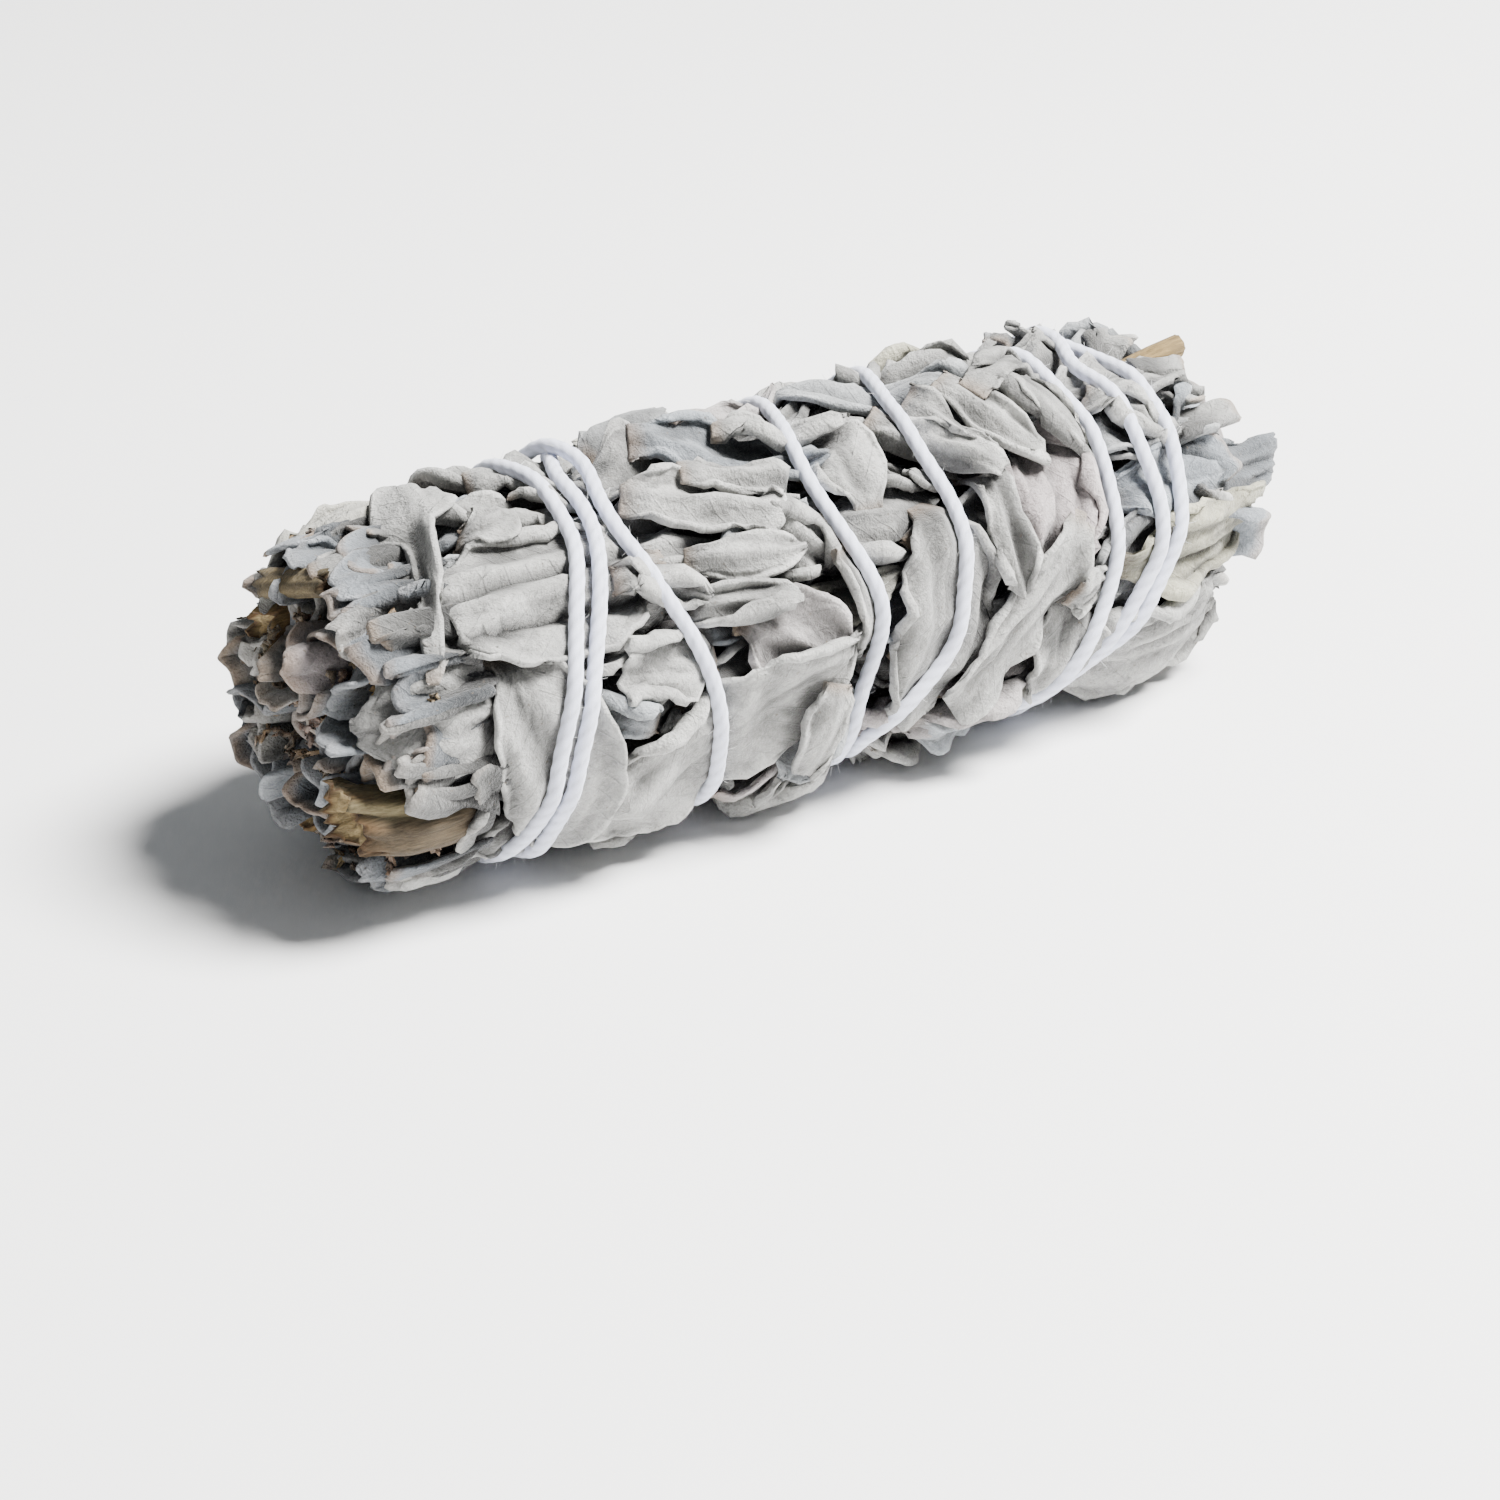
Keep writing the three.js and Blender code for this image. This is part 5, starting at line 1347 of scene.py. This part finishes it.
def add_chip(piece, place, dice):
    size = dice.draw(0.25, 0.85)
    u, v = np.meshgrid(np.linspace(-1, 1, 6), np.linspace(-1, 1, 4), indexing="ij")
    heading, lean = dice.draw(0, 6.28), dice.draw(-1.2, 1.2)
    y = u * size * math.cos(heading) - v * size * 0.5 * math.sin(heading)
    z = u * size * math.sin(heading) + v * size * 0.5 * math.cos(heading)
    crumpled = 0.3 * np.stack([waves(u + k, v, dice, 3, 1.0) for k in range(3)], -1)
    top = np.stack([lean * u * size, y, z], -1) + crumpled + place
    tint = BROWN * dice.draw(0.7, 2.6) * np.array([1, dice.draw(1.0, 1.2), dice.draw(1.0, 1.4)])
    places = np.stack([u, v], -1) * PLACE_SCALE
    piece.add_sheet(top, np.array([-1.0, 0, 0]), CHIP_THICKNESS, np.ones(u.shape + (3,)) * tint, places)


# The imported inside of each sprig, seen in the deep gaps
def packed_ring(index, x, bound):
    if index == OUTER_SPRIGS:
        angle = np.linspace(0, 360, MIDDLE_SIDES + 1)[:-1]
        return spot(x, angle, MIDDLE_RADIUS - GAP + 0.3 * np.sin(angle * DEGREE * 4 + x / 3))
    high, low = sector_border(index, x), sector_border((index + OUTER_SPRIGS - 1) % OUTER_SPRIGS, x)
    low = low - 360 if low > high else low
    outer = np.linspace(low + 0.5, high - 0.5, OUTER_SIDES)
    inner = np.linspace(high - 1.5, low + 1.5, INNER_SIDES)
    radius = np.concatenate([core_radius(x, outer), np.full(INNER_SIDES, MIDDLE_RADIUS + GAP)])
    return bound.place(np.full(len(radius), x), np.concatenate([outer, inner]), radius)


def packed_piece(piece, index, bound):
    xs = np.linspace(NEAR_END_X + 1.5, FAR_END_X - 1, PACKED_RINGS)
    rings = np.array([packed_ring(index, x, bound) for x in xs])
    sides = rings.shape[1]
    points = rings.reshape(-1, 3)
    # Painted shade: the inside is coloured much darker than the leaves, as it shows only in the shaded gaps
    tint = np.ones((len(points), 3)) * GREY * 0.55
    places = np.stack([points[:, 0], np.tile(np.arange(sides), len(xs))], 1) * PLACE_SCALE
    piece.add(points, capped_tube(len(xs), sides), tint, places)


# Stems
def stem_surface(index, dice, bound):
    """Rings along a squarish ridged stem, with a splintered rim, and their colours."""
    sprig = SPRIGS[index]
    turn = turns_round(STEM_SIDES)
    around = turn * sprig["radius"]
    splinter = 0.5 * waves(around, 0, dice, 5, 1.4) + 0.35 * waves(around, 4, dice, 5, 0.6)
    splinter = splinter - splinter.mean()
    split, below = np.zeros(STEM_SIDES), np.zeros(STEM_SIDES)
    if index == THICK_STEM:
        from_split = turn - math.pi - SPLIT_FACING
        split = np.exp(-((np.arctan2(np.sin(from_split), np.cos(from_split)) / SPLIT_WIDTH) ** 2))
        below = smooth(-0.2, 0.3, np.sin(from_split))
        splinter = splinter * 1.5 + 1.2 * below
    ridge = [dice.draw(0, 6.28) for _ in range(4)]
    rings, tints = [], []
    for share in np.concatenate([np.linspace(0, 0.3, 40), np.linspace(0.33, 1, 18)]):
        x = mix(sprig["near"][0], sprig["far"][0], share)
        centre = bound_stem_point(sprig, x, bound)
        square = 1 - 0.055 * np.cos(4 * turn + ridge[0]) + 0.03 * np.sin(9 * turn + ridge[1] + x / 9)
        fine = 0.022 * np.sin(23 * turn + ridge[2]) * (1 + np.sin(x / 2 + 3 * turn))
        fine = fine + 0.02 * np.sin(x * 1.3 + 2 * turn)
        opened = np.clip(1 - share / 0.4, 0, 1) ** 0.5
        radius = sprig["radius"] * (square + fine) * (1 - STEM_TAPER * share) - split * SPLIT_DEPTH * opened
        radius = radius * (1 + 0.05 * math.exp(-((share / 0.05) ** 2)))
        cut = np.clip(1 - share / 0.08, 0, 1)
        y, z = centre[1] + radius * np.cos(turn), centre[2] + radius * np.sin(turn)
        rings.append(np.stack([x + splinter * cut, y, z], -1))
        bark = 1 + 0.25 * np.sin(11 * turn + ridge[3] + x / 7) * 0.5 + 0.12 * np.sin(x / 3 + 5 * turn)
        colour = bark_tint(index, bark[:, None], below[:, None])
        # Painted shade in the open split
        colour = colour * (1 - 0.6 * split * opened)[:, None]
        stained = (0.5 + 0.5 * np.sin(7 * turn))[:, None] ** 2
        tints.append(mix(colour, CUT_BARK, (0.55 * cut) * stained))
    return rings, tints


def bark_tint(index, bark, below):
    if index != THICK_STEM:
        return BARK[index % 2] * bark
    return mix(THICK_BARK * bark, THICK_BARK_BELOW * bark, below * 0.85)


def cut_end(rim, dice):
    """Rings from a stem's rim in over its cut end to the hollowed pith, and their colours, inmost first."""
    turn = turns_round(STEM_SIDES)
    centre = rim.mean(0)
    rings, tints = [], []
    for k, (scale, depth) in enumerate(CUT_RINGS):
        uneven = 0.3 * waves(turn * 3 + k, k, dice, 4, 1.5)
        ring = centre + (rim - centre) * scale
        ring[:, 0] = centre[0] + (rim[:, 0] - centre[0]) * scale * 0.6 + depth + uneven * scale
        rings.insert(0, ring)
        # Painted shade in the hollow pith: the two inmost, deepest rings are dark, as is the ring at the rim
        pith = PITH if 1 <= k <= 3 else PITH_RIM_AND_HOLLOW_SHADE
        tints.insert(0, np.ones((STEM_SIDES, 3)) * pith * (1 + 0.3 * np.sin(9 * turn + k))[:, None])
    return rings, tints


def stem_piece(index, dice, material, origin, bound):
    rings, tints = stem_surface(index, dice, bound)
    end_rings, end_colours = cut_end(rings[0], dice)
    piece = Piece()
    piece.add_tube(end_rings + rings, end_colours + tints)
    if index == TOP_STEM:
        broken_stub(piece, dice)
    return piece.build(f"sprig_{index + 1}_woody_stem", material, origin)


def broken_stub(piece, dice):
    """A short end of stalk that is bent over and lies across the cut end."""
    start, end = (np.array(point) for point in BROKEN_STUB)
    along = (end - start) / np.linalg.norm(end - start)
    up = np.cross(along, [1.0, 0, 0])
    up /= np.linalg.norm(up)
    turn = turns_round(STUB_SIDES)
    around = np.cos(turn)[:, None] * up + np.sin(turn)[:, None] * np.cross(along, up)
    uneven = 1 + 0.1 * np.cos(3 * turn + 1) + 0.05 * np.sin(11 * turn)
    ragged = 0.55 * waves(turn * 1.5, 0, dice, 5, 1.2)
    rings, tints = [], []
    for share in np.linspace(0, 1, STUB_RINGS):
        away = STUB_RADIUS * uneven * (1 - 0.12 * share)
        broken = ragged * (smooth(0.75, 1, share) - smooth(0.75, 1, 1 - share))
        rings.append(start + (end - start) * share + around * away[:, None] + along * broken[:, None])
        bark = 0.85 + 0.3 * np.sin(7 * turn + 2 * share)
        dark = mix(1, 0.45, max(smooth(0.86, 1, share), smooth(0.86, 1, 1 - share)))
        tints.append(STUB_BARK * (bark * dark)[:, None])
    hollows = []
    for rim, inward in ((rings[0], along), (rings[-1], -along)):
        centre = rim.mean(0) + inward * 0.6
        hollows.append(centre + (rim - centre) * 0.45)
    # The hollow ends are coloured dark as painted shade
    end_hollow_shade = np.ones((STUB_SIDES, 3)) * STUB_HOLLOW_SHADE
    piece.add_tube([hollows[0], *rings, hollows[1]], [end_hollow_shade, *tints, end_hollow_shade])


def bound_stem_point(sprig, x, bound):
    return bound.place(x, *polar(stem_point(sprig, x)))


# String
def cord_rings(centres):
    """Rings of a three-ply cord round a line of centres, the painted shade in the grooves between its plies,
    and each point's place.
    """
    along = np.gradient(centres, axis=0)
    along /= np.linalg.norm(along, axis=1, keepdims=True)
    out = centres * [0, 1, 1]
    out /= np.maximum(1e-9, np.linalg.norm(out, axis=1, keepdims=True))
    aside = np.cross(along, out)
    aside /= np.linalg.norm(aside, axis=1, keepdims=True)
    up = np.cross(aside, along)
    steps = np.linalg.norm(np.diff(centres, axis=0), axis=1)
    length = np.concatenate([[0], np.cumsum(steps)])
    turn = turns_round(CORD_SIDES)
    lay = 1.5 * (turn[None] - length[:, None] * (2 * math.pi / TWIST_LENGTH))
    ply = CORD_RADIUS * (0.86 + 0.14 * np.abs(np.cos(lay)) ** 0.7)
    around = up[:, None] * np.cos(turn)[None, :, None] + aside[:, None] * np.sin(turn)[None, :, None]
    # Painted shade in the grooves between the plies
    shade = 0.66 + 0.34 * np.abs(np.cos(lay)) ** 0.5
    places = np.stack(np.broadcast_arrays(length[:, None] * PLACE_SCALE, turn[None] / (2 * math.pi)), -1)
    return centres[:, None] + ply[..., None] * around, shade, places


def resampled(points, step):
    """A smooth line through points, at even steps."""
    line = np.vstack([2 * points[0] - points[1], points, 2 * points[-1] - points[-2]])
    t = np.linspace(0, 1, 9)[:-1, None]
    dense = []
    for p0, p1, p2, p3 in zip(line, line[1:], line[2:], line[3:]):
        curve = 2 * p1 + (p2 - p0) * t + (2 * p0 - 5 * p1 + 4 * p2 - p3) * t**2
        dense.append(0.5 * (curve + (3 * p1 - p0 - 3 * p2 + p3) * t**3))
    dense = np.vstack(dense + [points[-1:]])
    length = np.concatenate([[0], np.cumsum(np.linalg.norm(np.diff(dense, axis=0), axis=1))])
    at = np.linspace(0, length[-1], int(length[-1] / step) + 1)
    return np.stack([np.interp(at, length, dense[:, k]) for k in range(3)], 1)


def add_cord(piece, centres):
    rings, shade, places = cord_rings(centres)
    white = COTTON * shade[..., None]
    faces = capped_tube(len(rings), CORD_SIDES)
    piece.add(rings.reshape(-1, 3), faces, white.reshape(-1, 3), places.reshape(-1, 2))


def add_fuzz(piece, centres, dice):
    """Short loose fibres standing off the string, tapered and three-sided."""
    for _ in range(FUZZ_COUNT):
        at = centres[int(dice.draw(4, len(centres) - 5))]
        heading = np.array([dice.draw(-1, 1), dice.draw(-1, 1), dice.draw(-1, 1)])
        out = at * [0, 1, 1] / np.linalg.norm(at[1:]) + 0.9 * heading
        out /= np.linalg.norm(out)
        root = at + out * STRING_DIAMETER * 0.45
        bend = np.cross(out, heading)
        t = np.linspace(0, 1, 5)[:, None]
        line = root + out * t * dice.draw(0.4, 1.1) + bend * t**2 * 0.3
        if line[:, 2].min() < 0.1 - SOLE_DISTANCE:
            continue
        side = np.cross(out, bend + 1e-6)
        side /= np.linalg.norm(side)
        turn = np.arange(3) * 2 * math.pi / 3
        across = side[None] * np.cos(turn)[:, None] + np.cross(out, side)[None] * np.sin(turn)[:, None]
        points = (line[:, None] + across[None] * (FUZZ_RADIUS * (1 - 0.6 * t))[:, None]).reshape(-1, 3)
        faces = capped_tube(len(line), 3)
        piece.add(points, faces, np.ones(points.shape) * 0.8, np.zeros((len(points), 2)))


def knot_line(surface):
    """The knot: a loop that passes three times over and under itself."""
    turn = np.arange(33) * 2 * math.pi / 32
    along = KNOT_LOOP * (np.sin(turn) + 2 * np.sin(2 * turn))
    around = KNOT_LOOP * (np.cos(turn) - 2 * np.cos(2 * turn))
    return spot(KNOT[0] + along, KNOT[1] + around / MM_PER_DEGREE, surface - 0.8 * np.sin(3 * turn))


def string_piece(bound, radii, material, origin, dice):
    centres = spot(ROUTE[:, 0], ROUTE[:, 1], radii + crossing_lift(ROUTE))
    centres[:, 2] = np.maximum(centres[:, 2], STRING_DIAMETER / 2 + FLOOR_GAP - SOLE_DISTANCE)
    eased = np.pad(centres, ((2, 2), (0, 0)), "edge")
    centres = sum(weight * eased[k:k + len(centres)] for k, weight in enumerate((1, 2, 3, 2, 1))) / 9
    piece = Piece()
    wound = resampled(centres, WOUND_STEP)
    surface = float(bound.top[FINE.cells(*KNOT)]) + 1.2 * STRING_DIAMETER
    lines = [wound, resampled(knot_line(surface), KNOT_STEP)]
    for tail in TAILS:
        x, angle = np.array(tail, float).T
        level = FINE.highest(bound.top, x, angle, 1) + STRING_DIAMETER / 2 + np.array(TAIL_RISE)
        lines.append(resampled(spot(x, angle, level), KNOT_STEP))
    for line in lines:
        add_cord(piece, line)
    add_fuzz(piece, wound, dice)
    return piece.build("cotton_string", material, origin)


# Materials
class Nodes:
    """Short calls for building one material's node tree."""

    def __init__(self, name):
        self.material = bpy.data.materials.new(name)
        self.material.use_nodes = True
        self.tree = self.material.node_tree
        self.shader = next(node for node in self.tree.nodes if node.type == "BSDF_PRINCIPLED")

    def put(self, socket, value):
        """Gives a socket a constant value, or links another node's output to it."""
        if isinstance(value, bpy.types.NodeSocket):
            self.tree.links.new(value, socket)
        else:
            socket.default_value = value

    def add(self, kind, inputs, output, **settings):
        """Adds a node, gives it its inputs, and gives back one of its outputs."""
        node = self.tree.nodes.new(f"ShaderNode{kind}")
        for name, value in settings.items():
            setattr(node, name, value)
        for name, value in inputs.items():
            self.put(next(socket for socket in node.inputs if socket.identifier == name), value)
        return next(socket for socket in node.outputs if socket.identifier == output)

    def place(self, kind):
        return self.add("TexCoord", {}, kind)

    def attribute(self, name):
        return self.add("Attribute", {}, "Color", attribute_name=name)

    def noise(self, where, scale, detail=4, roughness=0.55, distortion=0.0):
        form = {"Scale": scale, "Detail": detail, "Roughness": roughness, "Distortion": distortion}
        return self.add("TexNoise", {"Vector": where, **form}, "Fac")

    def stretched(self, where, scale):
        return self.add("Mapping", {"Vector": where, "Scale": scale}, "Vector")

    def ramp(self, value, low, high, start=0.0, end=1.0):
        limits = {"From Min": low, "From Max": high, "To Min": start, "To Max": end}
        return self.add("MapRange", {"Value": value, **limits}, "Result")

    def math(self, kind, first, second=0):
        return self.add("Math", {"Value": first, "Value_001": second}, "Value", operation=kind)

    def blend(self, kind, share, first, second):
        inputs = {"Factor_Float": share, "A_Color": first, "B_Color": second}
        return self.add("Mix", inputs, "Result_Color", data_type="RGBA", blend_type=kind)

    def grey(self, value):
        return self.add("CombineColor", {"Red": value, "Green": value, "Blue": value}, "Color")

    def shaded(self, colour, pattern, dark, light, low=0.3, high=0.7):
        """The colour, darker where a pattern is low and lighter where it is high."""
        return self.blend("MULTIPLY", 1.0, colour, self.grey(self.ramp(pattern, low, high, dark, light)))

    def bump(self, height, distance, strength, before=None):
        inputs = {"Height": height, "Distance": distance, "Strength": strength}
        if before is not None:
            inputs["Normal"] = before
        return self.add("Bump", inputs, "Normal")

    def finish(self, colour, normal, roughness, sheen):
        looks = {
            "Base Color": colour, "Normal": normal, "Roughness": roughness, "Specular IOR Level": 0.15,
            "Sheen Weight": sheen, "Sheen Roughness": 0.6,
        }
        for name, value in looks.items():
            self.put(self.shader.inputs[name], value)
        return self.material


def leaf_veins(nodes):
    """Height of the midrib and side veins. A leaf's UV map runs along it in U and across it in V."""
    split = nodes.tree.nodes.new("ShaderNodeSeparateXYZ")
    nodes.put(split.inputs["Vector"], nodes.place("UV"))
    across = nodes.math("ABSOLUTE", split.outputs["Y"])
    midrib = nodes.ramp(across, 0.0015, 0.006, 1, 0)
    slanted = nodes.math("SUBTRACT", split.outputs["X"], nodes.math("MULTIPLY", across, 1.1))
    wave = nodes.math("ABSOLUTE", nodes.math("SINE", nodes.math("MULTIPLY", slanted, VEIN_PACE)))
    side_veins = nodes.ramp(wave, 0.0, 0.22, 0.5, 0)
    return nodes.math("MAXIMUM", midrib, side_veins)


def leaf_material():
    nodes = Nodes("felted_sage_leaf")
    where = nodes.place("Object")
    felt = nodes.noise(where, 5200, 3, 0.7)
    pebbles = nodes.noise(where, 1700, 4, 0.6)
    patches = nodes.noise(where, 260, 5, 0.65, 0.6)
    specks = nodes.ramp(nodes.noise(where, 2300, 2, 0.5), 0.68, 0.74)
    veins = leaf_veins(nodes)
    colour = nodes.attribute("tint")
    colour = nodes.shaded(colour, felt, 0.8, 1.16)
    colour = nodes.shaded(colour, pebbles, 0.84, 1.12)
    colour = nodes.shaded(colour, patches, 0.76, 1.12)
    colour = nodes.shaded(colour, veins, 1.0, 0.84, 0, 1)
    colour = nodes.blend("MIX", nodes.math("MULTIPLY", specks, 0.5), colour, SPECK_COLOUR)
    normal = nodes.bump(nodes.math("ADD", felt, nodes.math("MULTIPLY", pebbles, 2.2)), 0.0002, 0.9)
    normal = nodes.bump(veins, 0.00016, 0.7, normal)
    return nodes.finish(colour, normal, 0.92, 0.25)


def stem_material():
    nodes = Nodes("dried_stem_bark")
    where = nodes.place("Object")
    grain = nodes.noise(nodes.stretched(where, (250, 3800, 3800)), 1, 5, 0.65, 0.3)
    blotches = nodes.noise(where, 420, 4, 0.6)
    colour = nodes.attribute("tint")
    colour = nodes.shaded(colour, grain, 0.55, 1.3)
    colour = nodes.shaded(colour, blotches, 0.8, 1.15)
    return nodes.finish(colour, nodes.bump(grain, 0.0003, 0.9), 0.8, 0.05)


def string_material():
    nodes = Nodes("twisted_cotton")
    where = nodes.place("UV")
    fibres = nodes.noise(nodes.stretched(where, (700, 60, 1)), 1, 4, 0.6, 0.2)
    soft = nodes.noise(nodes.place("Object"), 900, 3, 0.6)
    colour = nodes.attribute("tint")
    colour = nodes.shaded(colour, fibres, 0.9, 1.06)
    colour = nodes.shaded(colour, soft, 0.94, 1.04)
    return nodes.finish(colour, nodes.bump(fibres, 0.00012, 0.6), 0.9, 0.4)


def floor_material():
    nodes = Nodes("pale_floor")
    shade = nodes.ramp(nodes.noise(nodes.place("Object"), 3, 2), 0, 1, 0.86, 0.88)
    nodes.put(nodes.shader.inputs["Base Color"], nodes.grey(shade))
    nodes.put(nodes.shader.inputs["Roughness"], 0.9)
    return nodes.material


# Floor, light and camera
def make_floor():
    mesh = bpy.data.meshes.new("floor")
    corners = ((-1, -1), (1, -1), (1, 1), (-1, 1))
    mesh.from_pydata([(x * FLOOR_HALF, y * FLOOR_HALF, 0) for x, y in corners], [], [(0, 1, 2, 3)])
    mesh.materials.append(floor_material())
    floor = bpy.data.objects.new("floor", mesh)
    bpy.context.scene.collection.objects.link(floor)
    floor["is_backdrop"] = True


def area_light(name, place, size, watts, colour):
    data = bpy.data.lights.new(name, "AREA")
    data.shape = "DISK"
    data.size = size
    data.energy = watts
    data.color = colour
    lamp = bpy.data.objects.new(name, data)
    lamp.location = place
    lamp.rotation_euler = (Vector(LIT_PLACE) - Vector(place)).to_track_quat("-Z", "Y").to_euler()
    bpy.context.scene.collection.objects.link(lamp)


def make_lights():
    world = bpy.data.worlds.new("studio")
    world.use_nodes = True
    background = next(node for node in world.node_tree.nodes if node.type == "BACKGROUND")
    background.inputs["Color"].default_value = WORLD_COLOUR
    background.inputs["Strength"].default_value = WORLD_STRENGTH
    bpy.context.scene.world = world
    area_light("key", KEY_PLACE, KEY_SIZE, KEY_WATTS, KEY_COLOUR)
    area_light("fill", FILL_PLACE, FILL_SIZE, FILL_WATTS, FILL_COLOUR)


def make_camera(target):
    a, e = CAMERA_AZIMUTH * DEGREE, CAMERA_ELEVATION * DEGREE
    back = np.array([math.sin(a) * math.cos(e), -math.cos(a) * math.cos(e), math.sin(e)])
    away = -back
    scale = CAMERA_LENS / SENSOR_WIDTH * PHOTO_SIDE
    wanted = np.array([TARGET_PIXEL[0] - PHOTO_SIDE / 2, PHOTO_SIDE / 2 - TARGET_PIXEL[1]]) / scale
    yaw, pitch = math.atan2(away[0], away[1]), math.asin(away[2])
    for _ in range(20):
        ahead = np.array([math.sin(yaw) * math.cos(pitch), math.cos(yaw) * math.cos(pitch), math.sin(pitch)])
        right = np.array([math.cos(yaw), -math.sin(yaw), 0])
        up = np.cross(right, ahead)
        seen = np.array([away @ right, away @ up]) / (away @ ahead)
        yaw, pitch = yaw - (wanted[0] - seen[0]), pitch - (wanted[1] - seen[1])
    data = bpy.data.cameras.new("camera")
    data.lens = CAMERA_LENS
    data.sensor_width = SENSOR_WIDTH
    data.clip_start = 0.01
    camera = bpy.data.objects.new("camera", data)
    camera.location = (target + back * CAMERA_DISTANCE) * MM
    camera.rotation_euler = Vector(ahead).to_track_quat("-Z", "Y").to_euler()
    bpy.context.scene.collection.objects.link(camera)
    bpy.context.scene.camera = camera


def bundle_origin():
    """Where the bundle's axis at x = 0 lies in the part's frame, in millimetres."""
    sprig = SPRIGS[THICK_STEM]
    ragged = min(math.sin(5 * k + sprig["near"][1]) for k in range(8)) * 0.5
    low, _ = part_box(f"sprig_{THICK_STEM + 1}_stem")
    inner = SPRIGS[-1]
    front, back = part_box(f"sprig_{len(SPRIGS)}_stem")
    ends = [stem_point(inner, inner[end][0])[1] for end in ("near", "far")]
    aside = (front[1] + back[1]) / 2 / MM - sum(ends) / 2
    return np.array([low[0] / MM - sprig["near"][0] - ragged, aside, SOLE_DISTANCE])


def lay_small(layer, drape, dice, owner):
    laid = []
    for kind, spec in ((scrap, SCRAPS_UNDER), (strip, STRIPS), (sliver, SLIVERS), (scrap, SCRAPS_OVER)):
        for _ in range(spec[layer]):
            laid.append(drape.lay(kind(small_leaf(spec, drape, dice, owner), dice)))
    return laid


def lay_all():
    """Every leaf: those of the solids in their order, with small ones between and over them."""
    layout = Layout()
    wanted = [leaf for course in COURSES for leaf in layout.lay_course(course)]
    under_owner = layout.owner.copy()
    seen = [layout.lay(leaf) for leaf in map(layout.ready, SEEN_LEAVES) if leaf]
    dice = Dice(90431)
    drape = Drape(dice)
    laid = [drape.lay(dressed(leaf, dice)) for leaf in wanted]
    laid += lay_small("under", drape, dice, under_owner)
    laid += [drape.lay(dressed(leaf, dice)) for leaf in seen]
    laid += [drape.lay(seen_strip(*line, dice, layout.owner)) for line in SEEN_STRIPS]
    laid += lay_small("over", drape, dice, layout.owner)
    return laid, drape


def add_leaf(piece, item, bound, drape):
    thickness = item["leaf"]["thickness"]
    level = bound.radius(item["x"], item["angle"], item["radius"] + thickness)
    top = spot(item["x"], item["angle"], level)
    top[..., 2] = np.maximum(top[..., 2], 0.05 - SOLE_DISTANCE)
    places = np.stack([item["share"] * item["leaf"]["length"], item["side"]], -1) * PLACE_SCALE
    # How far other leaves lie over each point, for the painted shadow under their edges
    cover = FINE.highest(drape.height, item["x"], item["angle"], 0.7) - item["radius"] - thickness
    piece.add_sheet(top, top * [0, 1, 1], thickness, leaf_tints(item, level, cover), places)


def main():
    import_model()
    cad_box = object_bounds()
    origin = bundle_origin()
    laid, drape = lay_all()
    bound = Bound(drape.height)
    bound.measure(laid)
    radii = taut_radii(bound, ROUTE)
    bound.tighten(ROUTE, radii)
    leaf_look, stem_look, string_look = leaf_material(), stem_material(), string_material()
    dice = Dice(5517)
    for index in range(len(SPRIGS)):
        piece = Piece()
        packed_piece(piece, index, bound)
        end_leaves(piece, index, -1, dice)
        end_leaves(piece, index, 1, dice)
        crumbs(piece, index, dice)
        for item in laid:
            if item["leaf"]["sprig"] == index:
                add_leaf(piece, item, bound, drape)
        foliage = piece.build(f"sprig_{index + 1}_foliage", leaf_look, origin)
        stem = stem_piece(index, dice, stem_look, origin, bound)
        for made, node, slot in ((foliage, "leaves", "leaf"), (stem, "stem", "stem")):
            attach(made, "root")
            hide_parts(f"sprig_{index + 1}_{node}")
    string = string_piece(bound, radii, string_look, origin, dice)
    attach(string, "root")
    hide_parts("binding_string")
    make_floor()
    make_lights()
    make_camera(origin)
    boxes = {"cad": cad_box, "visual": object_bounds()}
    {name: [list(corner) for corner in box] for name, box in boxes.items()}


main()
